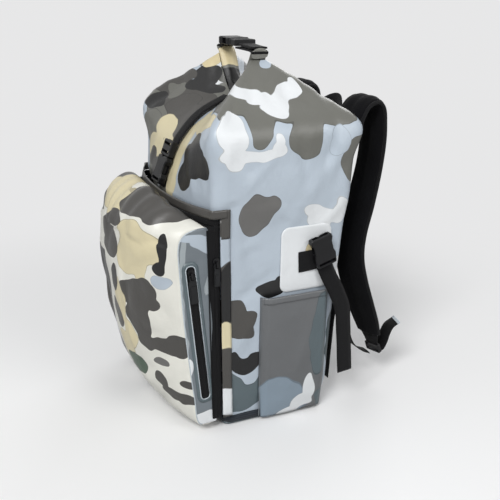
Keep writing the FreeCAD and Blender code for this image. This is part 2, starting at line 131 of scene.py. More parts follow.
bpy.ops.mesh.primitive_circle_add(vertices=96, radius=60, fill_type="NGON", location=(0, 0, -0.0005))
floor = bpy.context.object
floor.name = "floor"
floor_paint, tree, plain = new_material("pale_floor")
seen = add_node(tree, "LightPath").outputs["Is Camera Ray"]
pale = add_node(tree, "MapRange", (("Value", seen), ("To Min", 0.60), ("To Max", 0.93)))
tree.links.new(pale.outputs["Result"], plain.inputs["Base Color"])
plain.inputs["Roughness"].default_value = 0.95
plain.inputs["Specular IOR Level"].default_value = 0.1
glow = add_node(tree, "Emission", (("Color", (0.80, 0.80, 0.805, 1)),))
where = add_node(tree, "TexCoord").outputs["Object"]
span = add_node(tree, "VectorMath", ((0, where),), operation="LENGTH").outputs["Value"]
fade = add_node(tree, "MapRange", (("Value", span), ("From Min", 0.35), ("From Max", 1.0)),
                interpolation_type="SMOOTHSTEP").outputs["Result"]
cover = add_node(tree, "MixShader", ((0, arithmetic(tree, "MULTIPLY", fade, seen)),
                                     (1, plain.outputs[0]), (2, glow.outputs[0])))
tree.links.new(cover.outputs[0], tree.nodes["Material Output"].inputs["Surface"])
floor.data.materials.append(floor_paint)


def soft_lamp(name, place, size, power):
    """A square lamp that faces the middle of the bag."""
    bpy.ops.object.light_add(type="AREA", location=place)
    lamp = bpy.context.object
    lamp.name = name
    lamp.data.size = size
    lamp.data.energy = power
    lamp.rotation_euler = (Vector((0, 0, 0.25)) - Vector(place)).to_track_quat("-Z", "Y").to_euler()


soft_lamp("key_lamp", (1.5, -1.5, 2.1), 1.0, 48)
soft_lamp("side_lamp", (2.2, 0.9, 1.3), 1.2, 15)
soft_lamp("back_lamp", (-1.6, 1.6, 1.6), 1.4, 16)

world = bpy.data.worlds.new("pale_room")
world.use_nodes = True
bpy.context.scene.world = world
tree = world.node_tree
room = tree.nodes["Background"]
room.inputs["Color"].default_value = (0.86, 0.87, 0.88, 1)
room.inputs["Strength"].default_value = 0.42
backdrop = add_node(tree, "Background", (("Color", (0.80, 0.80, 0.80, 1)), ("Strength", 1.0)))
rays = add_node(tree, "LightPath").outputs
either = arithmetic(tree, "MAXIMUM", rays["Is Camera Ray"], rays["Is Glossy Ray"])
mix = add_node(tree, "MixShader", ((0, either), (1, room.outputs[0]), (2, backdrop.outputs[0])))
tree.links.new(mix.outputs[0], tree.nodes["World Output"].inputs["Surface"])


# Bag body: one sheet of coated fabric welded into a tube, gathered into two
# ears at the mouth. It is lofted ring by ring, then creased and softened.
BODY_LEVELS = [  # height, half width, front, back, forward swell of the middle
    (0.004, 0.139, -0.083, 0.080, 0.002), (0.046, 0.145, -0.085, 0.088, 0.003),
    (0.185, 0.146, -0.089, 0.094, 0.008), (0.312, 0.146, -0.094, 0.106, 0.026),
    (0.333, 0.146, -0.104, 0.108, 0.022)]
FOOT, SHOULDER = 0.004, 0.333
FRONT_EDGE_RISE = [(-0.104, 0.333), (-0.106, 0.386), (-0.106, 0.439), (-0.059, 0.479), (-0.012, 0.518)]
FRONT_MIDDLE_RISE = [(-0.126, 0.333), (-0.112, 0.372), (-0.095, 0.403), (-0.063, 0.436), (-0.012, 0.460)]
BACK_EDGE_RISE = [(0.108, 0.333), (0.114, 0.386), (0.121, 0.439), (0.066, 0.479), (0.012, 0.518)]
BACK_MIDDLE_RISE = [(0.108, 0.333), (0.111, 0.372), (0.106, 0.406), (0.068, 0.440), (0.012, 0.460)]
WIDTH_RISE = [0.146, 0.146, 0.146, 0.104, 0.060]
CORNER_RISE = [0.014, 0.018, 0.013, 0.008, 0.004]
ACROSS, FLANK, TURN = 44, 34, 6


def eased(values, t):
    """Value at share t along evenly spaced values, on a smooth curve through them."""
    place = min(max(t, 0.0), 1.0) * (len(values) - 1)
    i = min(int(place), len(values) - 2)
    f = place - i
    a, b, c, d = [values[min(max(k, 0), len(values) - 1)] for k in (i - 1, i, i + 1, i + 2)]
    return 0.5 * (2 * b + (c - a) * f + (2 * a - 5 * b + 4 * c - d) * f * f
                  + (3 * b - a - 3 * c + d) * f * f * f)


def eased_pair(pairs, t):
    """Two values at share t along evenly spaced pairs."""
    return eased([p[0] for p in pairs], t), eased([p[1] for p in pairs], t)


def ring_points(half, edge_front, edge_back, mid_front, mid_back, radius):
    """One turn round the bag: each edge is (y, z); the corners are rounded."""
    points = []

    def front_like(start, stop, edge, middle):
        for i in range(ACROSS):
            s = start + (stop - start) * i / (ACROSS - 1)
            share = abs(s) ** 1.6
            points.append(Vector((s * (half - radius), middle[0] + (edge[0] - middle[0]) * share,
                                  middle[1] + (edge[1] - middle[1]) * share)))

    def corner(sx, edge, facing, enter):
        for i in range(1, TURN):
            angle = math.pi / 2 * i / TURN
            angle = angle if enter else math.pi / 2 - angle
            points.append(Vector((sx * (half - radius + radius * math.sin(angle)),
                                  edge[0] - facing * radius * (1 - math.cos(angle)), edge[1])))

    def flank(sx, start, stop, z0, z1):
        for i in range(FLANK):
            t = i / (FLANK - 1)
            points.append(Vector((sx * half, start + (stop - start) * t, z0 + (z1 - z0) * t)))

    front_like(-1, 1, edge_front, mid_front)
    corner(1, edge_front, -1, True)
    flank(1, edge_front[0] + radius, edge_back[0] - radius, edge_front[1], edge_back[1])
    corner(1, edge_back, 1, False)
    front_like(1, -1, edge_back, mid_back)
    corner(-1, edge_back, 1, True)
    flank(-1, edge_back[0] - radius, edge_front[0] + radius, edge_back[1], edge_front[1])
    corner(-1, edge_front, -1, False)
    return points


def cloth_grid(name, rows, round_and_round=False, capped=False):
    """A smooth quad mesh through rows of equal length, with a UV map in metres."""
    data = bpy.data.meshes.new(name)
    mesh = bmesh.new()
    count = len(rows[0])
    verts = [[mesh.verts.new(p) for p in row] for row in rows]
    layer = mesh.loops.layers.uv.new("cut")
    run = [0.0]
    for p, q in zip(rows[0], rows[0][1:] + rows[0][:1]):
        run.append(run[-1] + (q - p).length)
    rise = [0.0]
    for low, high in zip(rows, rows[1:]):
        rise.append(rise[-1] + (high[count // 2] - low[count // 2]).length)
    for r in range(len(rows) - 1):
        for i in range(count if round_and_round else count - 1):
            j = (i + 1) % count
            face = mesh.faces.new((verts[r][i], verts[r][j], verts[r + 1][j], verts[r + 1][i]))
            face.smooth = True
            for loop, uv in zip(face.loops, ((i, r), (i + 1, r), (i + 1, r + 1), (i, r + 1))):
                loop[layer].uv = (run[uv[0]], rise[uv[1]])
    if capped:
        mesh.faces.new(verts[0][::-1])
        mesh.faces.new(verts[-1])
        bmesh.ops.recalc_face_normals(mesh, faces=mesh.faces)
    mesh.to_mesh(data)
    mesh.free()
    piece = bpy.data.objects.new(name, data)
    bpy.context.collection.objects.link(piece)
    return piece


rings = []
for i in range(58):
    z = FOOT + (SHOULDER - FOOT) * i / 58
    half, front, back, swell = between_levels(BODY_LEVELS, z)
    rings.append(ring_points(half, (front, z), (back, z), (front - swell, z), (back, z), 0.014))
for i in range(41):
    t = i / 40
    rings.append(ring_points(eased(WIDTH_RISE, t), eased_pair(FRONT_EDGE_RISE, t),
                             eased_pair(BACK_EDGE_RISE, t), eased_pair(FRONT_MIDDLE_RISE, t),
                             eased_pair(BACK_MIDDLE_RISE, t), eased(CORNER_RISE, t)))
bag_body = cloth_grid("bag_body", rings, round_and_round=True)


def fold_table(rows):
    """Folds as vectors in metres from rows in millimetres."""
    return [(Vector([v / 1000 for v in row[:3]]), Vector([v / 1000 for v in row[3:6]]),
             row[6] / 1000, row[7] / 1000) for row in rows]


def fold(place, start, stop, width, depth):
    """Height of one soft fold that runs between two points, at a place."""
    run = stop - start
    t = min(max((place - start).dot(run) / run.length_squared, 0), 1)
    away = (place - (start + run * t)).length
    fade = math.sin(math.pi * min(max(t, 0.04), 0.96)) ** 0.5
    return depth * fade * math.exp(-(away / width) ** 2)


SIDE_FOLDS = fold_table([  # in mm: start, stop, width, height
    (146, -100, 430, 146, -20, 310, 10, 3.5), (146, 110, 430, 146, 30, 330, 11, 4.2),
    (146, 85, 450, 146, 55, 350, 8, -3.5), (146, 30, 300, 146, -50, 360, 8, 3),
    (146, 0, 240, 146, -70, 200, 9, -3), (146, -20, 200, 146, -70, 120, 10, 3),
    (110, -50, 470, 146, -90, 400, 9, 4), (100, 30, 480, 146, 60, 400, 10, -4),
    (80, 0, 500, 146, -10, 420, 9, 3.5), (146, 100, 340, 146, 60, 290, 7, 3),
    (146, -80, 340, 146, -60, 240, 7, 2), (100, -112, 345, 60, -112, 410, 8, 3),
    (130, -105, 360, 120, -100, 435, 7, -3), (146, -60, 360, 146, -15, 400, 6, 2.8),
    (146, 60, 440, 146, 100, 390, 6, 3.2), (146, 20, 430, 146, 35, 360, 6, -2.8),
    (146, -25, 290, 146, -75, 270, 5, 2.2), (120, 70, 460, 60, 10, 512, 8, 3.5),
    (66, 12, 518, 112, 62, 466, 20, 6), (100, -58, 479, 143, -96, 443, 6, 5),
    (88, -68, 468, 134, -108, 430, 8, -6), (-66, -60, 462, -126, -104, 437, 6, 4),
    (-70, -75, 448, -122, -112, 424, 9, -4)])
SIDE_FROM, FLANK_FROM, TOP_FROM = 0.13, 0.10, 0.44  # where the flat side, the flank and the ears begin
POCKET_TOP, POCKET_FRONT, WELT_BACK = 0.305, -0.045, -0.066  # what is sewn flat over the side
for vertex in bag_body.data.vertices:
    p = vertex.co
    lift = sum(fold(Vector((abs(p.x), p.y, p.z)), *row) for row in SIDE_FOLDS)
    edge = ramp(p.z - 0.02, 0.06)
    lift += edge * 0.0028 * noise.noise(p * 11)
    lift += edge * 0.0015 * noise.noise(Vector((p.x * 22, p.y * 30, p.z * 16)))
    gather = ramp(p.z - TOP_FROM, 0.06)
    lift += gather * 0.0016 * math.sin(p.y * 230 + p.x * 60 + 3 * noise.noise(p * 20))
    if abs(p.x) > FLANK_FROM and 0.30 < p.z < 0.46 and -0.09 < p.y:
        lift += 0.003 * math.sin(math.pi * (p.z - 0.30) / 0.16)
    if abs(p.x) > SIDE_FROM:
        under = ramp(POCKET_TOP - p.z, 0.02) * ramp(p.y - POCKET_FRONT, 0.015)
        under = max(under, ramp(WELT_BACK - p.y, 0.008) * (p.z < 0.345))
        lift = lift * (1 - under) + min(lift, 0) * 0.5 * under
    if p.y > 0.07 and 0.02 < p.z < TOP_FROM and abs(p.x) < 0.135:
        lift = min(lift, 0)
    if abs(p.x) < 0.03 and p.y < -0.01:
        lift *= 0.15
    near_mouth = ramp(0.515 - p.z, 0.03) if abs(p.y) < 0.05 else 1
    vertex.co = p + vertex.normal * lift * near_mouth
bag_body.data.update()


# Fabric colours: mostly the print's own. Some also paint shade, shadow and highlight where marked below, and
# painted_fold_light is painted light only.
FABRIC_TINTS = {"ice": paint(181, 192, 203), "snow": paint(226, 229, 231), "stone": paint(105, 105, 99),
         "slate": paint(70, 68, 65), "coal": paint(12, 12, 13), "sand": paint(222, 207, 166),
         "painted_fold_light": paint(160, 168, 172), "tide": paint(88, 101, 106), "ash": paint(104, 103, 101),
         "cream": paint(219, 208, 172), "moss": paint(62, 84, 66), "steel": paint(132, 147, 160),
         "milk": paint(229, 228, 219), "fog": paint(112, 120, 126), "smoke": paint(101, 103, 105)}


SCATTER = (  # patches on the unseen sides: shift of the noise, its scale, threshold, colour
    ((3, 1, 7), 7.0, 0.55, "stone"), ((11, 5, 2), 8.5, 0.60, "snow"), ((6, 17, 9), 9.0, 0.62, "slate"),
    ((21, 4, 13), 9.5, 0.645, "coal"))


def coated_fabric(name, ground, patches, scattered=True, side_only=None, fine=1.0):
    """Printed coated fabric: a ground colour, soft-edged patches and a faint weave."""
    material, tree, shader = new_material(name)
    place = add_node(tree, "TexCoord").outputs["Object"]
    drift = add_node(tree, "TexNoise", (("Vector", place), ("Scale", 16.0), ("Detail", 1.5)))
    shifted = add_node(tree, "VectorMath", ((0, drift.outputs["Color"]), (1, (0.5, 0.5, 0.5))),
                       operation="SUBTRACT")
    scaled = add_node(tree, "VectorMath", ((0, shifted.outputs[0]), ("Scale", 0.045)), operation="SCALE")
    warped = add_node(tree, "VectorMath", ((0, place), (1, scaled.outputs[0]))).outputs[0]
    colour = FABRIC_TINTS[ground]

    def rim(value):
        return tuple(v * 0.62 for v in FABRIC_TINTS[value][:3]) + (1.0,)

    if scattered:
        hide = 1.0
        if side_only is not None:
            split = add_node(tree, "SeparateXYZ", ((0, warped),))
            hide = arithmetic(tree, "LESS_THAN", split.outputs[0], side_only)
        for shift, size, level_at, tint in SCATTER:
            moved = add_node(tree, "VectorMath", ((0, warped), (1, shift)))
            field = clouds(tree, moved.outputs[0], size, 0.0)
            for step, shade in ((0.0, rim(tint)), (0.0045, FABRIC_TINTS[tint])):
                inside = arithmetic(tree, "GREATER_THAN", field, level_at + step)
                colour = blended(tree, arithmetic(tree, "MULTIPLY", inside, hide), colour, shade)
    for tint, blobs in patches:
        nearest = None
        for blob in blobs:
            centre, reach = [v / 1000 for v in blob[:3]], [v / 1000 for v in blob[3:]]
            gap = add_node(tree, "VectorMath", ((0, warped), (1, centre)), operation="SUBTRACT")
            ratio = add_node(tree, "VectorMath", ((0, gap.outputs[0]), (1, [1 / r for r in reach])),
                             operation="MULTIPLY")
            far = add_node(tree, "VectorMath", ((0, ratio.outputs[0]),),
                           operation="LENGTH").outputs["Value"]
            nearest = far if nearest is None else arithmetic(tree, "SMOOTH_MIN", nearest, far, 0.35)
        for step, shade in ((1.0, rim(tint)), (0.965, FABRIC_TINTS[tint])):
            colour = blended(tree, arithmetic(tree, "LESS_THAN", nearest, step), colour, shade)
    cloudy = clouds(tree, place, 5.0, 3.0)
    shade = add_node(tree, "MapRange", (("Value", cloudy), ("From Min", 0.3), ("From Max", 0.7),
                                        ("To Min", 0.90), ("To Max", 1.06))).outputs[0]
    colour = colour if isinstance(colour, bpy.types.NodeSocket) else colour[:3]
    toned = add_node(tree, "VectorMath", ((0, colour), ("Scale", shade)), operation="SCALE").outputs[0]
    tree.links.new(toned, shader.inputs["Base Color"])
    rough = add_node(tree, "MapRange", (("Value", cloudy), ("To Min", 0.30), ("To Max", 0.46))).outputs[0]
    tree.links.new(rough, shader.inputs["Roughness"])
    creased = add_node(tree, "TexNoise", (("Vector", place), ("Scale", 28.0), ("Detail", 4.0),
                                          ("Roughness", 0.45))).outputs[0]
    threads = []
    for axis in ("X", "Y", "Z"):
        wave = add_node(tree, "TexWave", (("Vector", place), ("Scale", 420.0), ("Distortion", 0.4),
                                          ("Detail", 0.0)), bands_direction=axis)
        threads.append(wave.outputs["Fac"])
    weave = arithmetic(tree, "ADD", arithmetic(tree, "ADD", threads[0], threads[1]), threads[2])
    first = add_node(tree, "Bump", (("Strength", 0.8), ("Distance", 0.0030), ("Height", creased)))
    second = add_node(tree, "Bump", (("Strength", 0.10 * fine), ("Distance", 0.0003), ("Height", weave),
                                     ("Normal", first.outputs[0])))
    tree.links.new(second.outputs[0], shader.inputs["Normal"])
    shader.inputs["Coat Weight"].default_value = 0.25
    shader.inputs["Coat Roughness"].default_value = 0.32
    return material


BODY_PATCHES = [  # colour, then blobs in mm: centre x, y, z and reach x, y, z
    ("stone", [(100, 0, 505, 140, 160, 60), (146, -33, 437, 50, 20, 24), (146, 34, 434, 50, 27, 32),
        (146, 106, 390, 50, 20, 34), (146, 85, 458, 50, 60, 16), (146, -95, 458, 50, 30, 12)]),
    ("ice", [(146, 85, 421, 30, 13, 24)]),
    ("snow", [(146, -78, 432, 60, 20, 22), (136, -70, 448, 20, 13, 12), (146, -80, 403, 50, 16, 19),
        (146, -60, 402, 50, 28, 12), (146, -30, 401, 50, 30, 9), (146, -4, 411, 50, 13, 12),
        (146, -5, 423, 50, 8, 10)]),
    ("snow", [(104, -24, 477, 40, 18, 10), (86, -40, 486, 40, 20, 9), (122, -10, 464, 40, 17, 12),
        (106, 16, 477, 30, 17, 8), (115, 2, 471, 30, 14, 10), (100, 30, 483, 30, 8, 8)]),
    ("ice", [(66, 14, 512, 30, 12, 9)]),
    ("ash", [(146, -40, 326, 50, 29, 27), (146, -34, 333, 50, 27, 22)]),
    ("snow", [(146, 62, 314, 50, 29, 9), (146, 86, 318, 50, 15, 14), (146, 55, 302, 50, 18, 10),
        (146, 90, 225, 50, 14, 20)]),
    ("slate", [(146, -72, 184, 50, 22, 18), (146, -66, 158, 50, 24, 20), (146, -48, 172, 50, 16, 13),
        (146, -52, 152, 50, 14, 12)]),
    ("coal", [(146, -50, 102, 50, 20, 14), (146, -34, 110, 50, 14, 12), (146, -64, 112, 50, 9, 12)]),
    ("tide", [(146, -62, 46, 50, 28, 26), (146, -36, 58, 50, 20, 14), (146, -74, 70, 50, 14, 22),
        (146, 95, 110, 50, 12, 50)]),
    ("coal", [(146, -16, 212, 50, 24, 14), (146, -2, 222, 50, 12, 12)]),
    ("cream", [(62, -85, 438, 46, 30, 15), (24, -95, 412, 24, 30, 32), (18, -112, 372, 18, 30, 36),
        (26, -122, 342, 14, 20, 20)]),
    ("coal", [(84, -108, 394, 40, 30, 24), (118, -106, 388, 18, 30, 13), (64, -114, 366, 24, 30, 20),
        (84, -100, 416, 15, 30, 14)]),
    ("stone", [(-105, -105, 408, 34, 30, 32), (-90, -70, 461, 18, 20, 12)]),
    ("cream", [(-60, -95, 412, 30, 30, 22), (-78, -105, 384, 34, 20, 20), (-30, -110, 380, 20, 20, 30)]),
    ("slate", [(-75, -112, 362, 15, 20, 16), (-52, -75, 444, 34, 30, 12), (-20, -80, 430, 20, 30, 14)]),
    # Painted shadow: the two thin coal bands at heights 446 and 466 lie along the underside of the left
    # ear's overhanging lower edge; the taller coal blob at height 487 is print.
    ("coal", [(-112, -95, 446, 26, 30, 8), (-45, -40, 466, 50, 30, 10), (-50, -30, 487, 24, 40, 19)]),
    ("slate", [(-94, -50, 484, 30, 40, 14)]),
    ("sand", [(-60, -18, 514, 16, 30, 14)])]
camo_body = coated_fabric("camo_body", "ice", BODY_PATCHES, side_only=0.085)
finish_piece(bag_body, "pack", "camo_fabric", camo_body,
             "front_panel", "side_panel_right", "side_panel_left", "back_panel", "roll_top")


# Rolled mouth: the open end of the tube, turned over on itself four times along
# the notch and flattened. Each end of the roll is closed with a flat cap.
ROLL_LINE = [(-0.0615, 0.520), (-0.057, 0.518), (-0.0257, 0.4762), (-0.0114, 0.4644), (0.0114, 0.4644),
             (0.0257, 0.4762), (0.057, 0.518), (0.0615, 0.520)]
roll_rows = []
for i in range(57):
    t = i / 56
    x, z = eased_pair(ROLL_LINE, t)
    row = []
    for k in range(28):
        turn = 2 * math.pi * k / 28
        flat = 0.0125 * math.copysign(abs(math.cos(turn)) ** 0.75, math.cos(turn))
        tall = 0.0062 * math.copysign(abs(math.sin(turn)) ** 0.8, math.sin(turn)) + 0.0060
        wave = 0.0007 * math.sin(t * 40 + k * 0.5) + 0.0008 * noise.noise(Vector((t * 9, k * 0.4, 2)))
        row.append(Vector((x, flat * (1 - 0.25 * (tall > 0.009)) + wave, z + tall + wave)))
    roll_rows.append(row)
mouth_roll = cloth_grid("rolled_mouth", roll_rows, round_and_round=True, capped=True)
# Painted shade: the coal blob lies down in the notch where the roll dips between the ears; the sand blob is
# print.
wound = coated_fabric("camo_roll", "stone", [
    ("coal", [(-20, 0, 480, 30, 30, 18)]),
    ("sand", [(-50, 0, 512, 20, 30, 20)])], scattered=False)
finish_piece(mouth_roll, "pack", "camo_fabric", wound, "mouth_roll")


# Base and its hem: a stiff coated panel welded under the tube, with a dark
# rubbery strip folded round the lower edge.
foot = ring_points(0.139, (-0.083, 0.004), (0.080, 0.004), (-0.085, 0.004), (0.080, 0.004), 0.010)
base_rows = [[Vector((p.x * s, p.y * s, z)) for p in foot]
             for s, z in ((0.04, 0.0011), (0.5, 0.0009), (0.9, 0.0004), (0.985, 0.0002), (1.0, 0.0016),
                          (1.0, 0.0042))]
base_sheet = cloth_grid("base_sheet", base_rows[::-1], round_and_round=True, capped=True)
base_cloth = coated_fabric("base_cloth", "tide", [], scattered=False)
finish_piece(base_sheet, "pack", "grey_fabric", base_cloth, "base_panel")


def webbing(name, tint, ribs=1.0, sheen=0.25):
    """Woven tape: ribs across it, a bar of thread every few millimetres, soft edges; painted shade darkens
    the low parts of the weave and painted highlight lightens its raised ribs and threads.
    """
    material, tree, shader = new_material(name)
    cut = add_node(tree, "TexCoord").outputs["UV"]
    rib = add_node(tree, "TexWave", (("Vector", cut), ("Scale", 180.0 * ribs), ("Distortion", 0.6)),
                   bands_direction="Y").outputs["Fac"]
    thread = add_node(tree, "TexWave", (("Vector", cut), ("Scale", 260.0), ("Distortion", 0.8)),
                      bands_direction="X").outputs["Fac"]
    fuzz = clouds(tree, cut, 420.0, 3.0)
    height = arithmetic(tree, "ADD", arithmetic(tree, "MULTIPLY", rib, 0.6),
                        arithmetic(tree, "MULTIPLY", thread, 0.4))
    height = arithmetic(tree, "ADD", height, arithmetic(tree, "MULTIPLY", fuzz, 0.5))
    # Painted shade and highlight: the colour follows the weave's height, darker in its grooves and paler on
    # its ribs.
    dark = tuple(v * 0.55 for v in tint[:3]) + (1.0,)
    light = tuple(v * 1.5 for v in tint[:3]) + (1.0,)
    share = add_node(tree, "MapRange", (("Value", height), ("From Min", 0.2), ("From Max", 1.3))).outputs[0]
    shader.inputs["Specular IOR Level"].default_value = 0.22
    tree.links.new(blended(tree, share, dark, light), shader.inputs["Base Color"])
    bump = add_node(tree, "Bump", (("Strength", 0.6), ("Distance", 0.0005), ("Height", height)))
    tree.links.new(bump.outputs[0], shader.inputs["Normal"])
    shader.inputs["Roughness"].default_value = 0.82
    shader.inputs["Sheen Weight"].default_value = sheen
    shader.inputs["Sheen Roughness"].default_value = 0.5
    return material


rubber_edge = webbing("dark_hem_tape", paint(46, 50, 56), ribs=0.5, sheen=0.1)


def sewn_ring(name, low, high, proud):
    """A thin strip round the bag between two heights, standing proud of it."""
    rows = []
    for z, out in ((low, 0.0), (low + 0.0005, proud), ((low + high) / 2, proud * 1.15), (high, proud),
                   (high, 0)):
        t = (z - 0.004) / 0.042
        half, front, back = 0.139 + 0.006 * t, -0.083 - 0.002 * t, 0.080 + 0.008 * t
        rows.append([Vector((p.x, p.y, z)) for p in ring_points(
            half + out, (front - out, z), (back + out, z), (front - 0.002 - out, z), (back + out, z),
            0.014 + out)])
    return cloth_grid(name, rows, round_and_round=True)


hem_strip = sewn_ring("base_hem_strip", 0.0035, 0.0155, 0.0016)
for vertex in hem_strip.data.vertices:
    wander = 0.0009 * noise.noise(vertex.co * 30)
    vertex.co.z += 0.0012 * math.sin(vertex.co.x * 70 + vertex.co.y * 50) * (vertex.co.z > 0.01) + wander
finish_piece(hem_strip, "pack", "rubber_pull", rubber_edge, "base_hem")


# Front compartment: a bulging cover and two side gussets, welded along a piped
# seam, hinged along its lower edge and closed by the zip. Coated fabric.
COVER_HALF = 0.143
COVER_MIDDLE = [(-0.097, 0.014), (-0.145, 0.015), (-0.178, 0.060), (-0.193, 0.113), (-0.204, 0.181),
                (-0.209, 0.245), (-0.204, 0.294), (-0.190, 0.327), (-0.164, 0.345), (-0.148, 0.338),
                (-0.1382, 0.311)]
COVER_SIDE = [(-0.097, 0.017), (-0.124, 0.018), (-0.131, 0.060), (-0.138, 0.113), (-0.145, 0.181),
              (-0.150, 0.245), (-0.152, 0.285), (-0.147, 0.303), (-0.134, 0.311), (-0.118, 0.313),
              (-0.1072, 0.311)]
COVER_FOLDS = fold_table([
    (137, -135, 305, 85, -190, 270, 9, 4.5), (135, -150, 285, 70, -200, 235, 8, -4),
    (130, -155, 300, 60, -190, 310, 9, -4), (80, -175, 325, 50, -200, 280, 8, 4),
    (132, -155, 262, 100, -180, 225, 8, 3.5), (20, -180, 328, 0, -208, 270, 10, -4),
    (60, -200, 220, 30, -205, 120, 10, -4), (45, -205, 250, 55, -190, 100, 6, 4.5),
    (120, -150, 100, 60, -175, 60, 10, 4), (110, -150, 55, 60, -150, 22, 9, -4),
    (130, -140, 130, 90, -180, 160, 10, -3)])


def cover_point(x, t):
    """Point of the cover at a distance from the middle and a share of its way round."""
    k = 1 - abs(x / COVER_HALF) ** 2.6
    (ym, zm), (ys, zs) = eased_pair(COVER_MIDDLE, t), eased_pair(COVER_SIDE, t)
    return Vector((x, ys + (ym - ys) * k, zs + (zm - zs) * k))


cover_rows = []
for j in range(91):
    t = j / 90
    row = []
    for i in range(81):
        s = -1 + 2 * i / 80
        x = COVER_HALF * math.copysign(abs(s) ** 0.85, s)
        row.append(cover_point(x, t))
    cover_rows.append(row[::-1])
cover_shell = cloth_grid("compartment_shell", cover_rows)


def cover_lift(p):
    """How far folds and slack move a point of the cover off its plain form."""
    inner = min(1, (COVER_HALF - abs(p.x)) / 0.016) * ramp(p.z - 0.015, 0.02)
    rear = ramp(-0.118 - p.y, 0.02)
    lift = sum(fold(Vector((abs(p.x), p.y, p.z)), *row) for row in COVER_FOLDS)
    lift += 0.0032 * noise.noise(p * 13) + 0.0016 * noise.noise(p * 31)
    pucker = ramp(p.z - 0.285, 0.03)
    lift += 0.0014 * pucker * math.sin(p.x * 210 + 4 * noise.noise(p * 9))
    return lift * inner * rear


for vertex in cover_shell.data.vertices:
    inwards = vertex.normal.y > 0 and vertex.co.z < 0.29
    vertex.co = vertex.co + vertex.normal * cover_lift(vertex.co) * (-1 if inwards else 1)
COVER_PATCHES = [
    ("cream", [(-20, -180, 325, 60, 50, 26)]),
    ("cream", [(84, -187, 286, 50, 50, 27), (68, -195, 258, 34, 50, 24), (87, -190, 236, 11, 30, 16)]),
    ("slate", [(56, -172, 332, 46, 50, 18), (98, -158, 328, 34, 40, 14), (22, -198, 302, 26, 30, 17),
        (-5, -205, 286, 20, 30, 20), (12, -207, 258, 26, 30, 20)]),
    ("slate", [(98, -184, 222, 19, 40, 18), (78, -192, 205, 25, 50, 22), (108, -176, 203, 14, 30, 9),
        (80, -190, 170, 20, 50, 28), (84, -182, 138, 17, 40, 15), (110, -167, 138, 26, 40, 12),
        (136, -149, 143, 20, 30, 15)]),
    ("ash", [(102, -168, 106, 14, 30, 7)]),
    ("ice", [(128, -166, 240, 17, 30, 12)]),
    ("slate", [(98, -168, 78, 14, 30, 11), (112, -157, 61, 20, 30, 11), (134, -140, 57, 18, 30, 12)]),
    ("slate", [(137, -145, 91, 9, 20, 6)]),
    ("coal", [(132, -160, 281, 10, 30, 23), (125, -169, 262, 14, 30, 10)]),
    ("cream", [(42, -203, 182, 20, 30, 36), (50, -197, 136, 18, 30, 26), (30, -190, 110, 24, 40, 16)]),
    ("coal", [(26, -206, 214, 16, 30, 20)]),
    ("slate", [(18, -198, 152, 16, 30, 26)]),
    ("moss", [(46, -178, 84, 24, 40, 24), (15, -170, 50, 30, 50, 22)])]
camo_cover = coated_fabric("camo_cover", "milk", COVER_PATCHES, side_only=-0.01)


def give_wall(piece, thickness, inward=-1):
    """Turns a single sheet into cloth of real thickness."""
    bpy.ops.object.select_all(action="DESELECT")
    piece.select_set(True)
    bpy.context.view_layer.objects.active = piece
    walls = piece.modifiers.new("thickness", "SOLIDIFY")
    walls.thickness = thickness
    walls.offset = inward
    walls.use_even_offset = True
    bpy.ops.object.modifier_apply(modifier="thickness")


give_wall(cover_shell, 0.0016)
finish_piece(cover_shell, "front_compartment", "camo_fabric", camo_cover, "compartment_cover")

# Gussets: the two sides of the compartment, cut to its profile, slightly full,
# with a light welded edge line along the seam, partly painted highlight, and round the zip opening.
# Painted light on the gussets: the narrow upright painted_fold_light stripes stand for light on their folds,
# and the ice marks at the top are painted highlight where the fabric folds at the corner.
GUSSET_PATCHES = [
    ("painted_fold_light", [(143, -146, 250, 20, 6, 60), (143, -142, 170, 20, 6, 45), (143, -112, 255, 20, 6, 35)]),
    ("ice", [(143, -136, 300, 20, 20, 8), (143, -118, 290, 20, 20, 10)]),
    ("snow", [(143, -118, 18, 30, 30, 12), (143, -138, 112, 20, 6, 14)])]
grey_gusset = coated_fabric("grey_gusset", "fog", GUSSET_PATCHES, scattered=False)
ZIP_MIDDLE = Vector((0.143, -0.1255, 0.160))
LEAN = math.radians(6.1)
ZIP_UP = Vector((0, -math.sin(LEAN), math.cos(LEAN)))
ZIP_OUT = Vector((0, math.cos(LEAN), math.sin(LEAN)))


def slack(p, reach):
    """Fullness of a gusset at a point, none beside the zip."""
    off = Vector((0, p.y, p.z)) - Vector((0, ZIP_MIDDLE.y, ZIP_MIDDLE.z))
    beside = max(abs(off.dot(ZIP_OUT)) - 0.009, abs(off.dot(ZIP_UP)) - 0.108)
    full = ramp(beside, 0.006) * (0.0016 + 0.0012 * noise.noise(p * 34))
    return full * math.sin(math.pi * reach) * ramp(p.z - 0.02, 0.02)


for side_name, sx in SIDES:
    rim_front = [Vector((sx * 0.1425, *eased_pair(COVER_SIDE, i / 72))) for i in range(73)]
    back_line = [Vector((sx * 0.1425, -0.0975 - 0.0097 * (p.z - 0.017) / 0.294, p.z)) for p in rim_front]
    rows = []
    for i in range(13):
        t = i / 12
        flat = [a.lerp(b, t) for a, b in zip(rim_front, back_line)]
        rows.append([p + Vector((sx * slack(p, t), 0, 0)) for p in flat])
    gusset = cloth_grid("gusset_sheet_" + side_name, rows if sx > 0 else rows[::-1])
    give_wall(gusset, 0.0014)
    finish_piece(gusset, "front_compartment", "camo_fabric", grey_gusset, "gusset_" + side_name)


def path_frame(path, i):
    """Direction of a path at its point i."""
    before, after = path[max(i - 1, 0)], path[min(i + 1, len(path) - 1)]
    return (after - before).normalized()


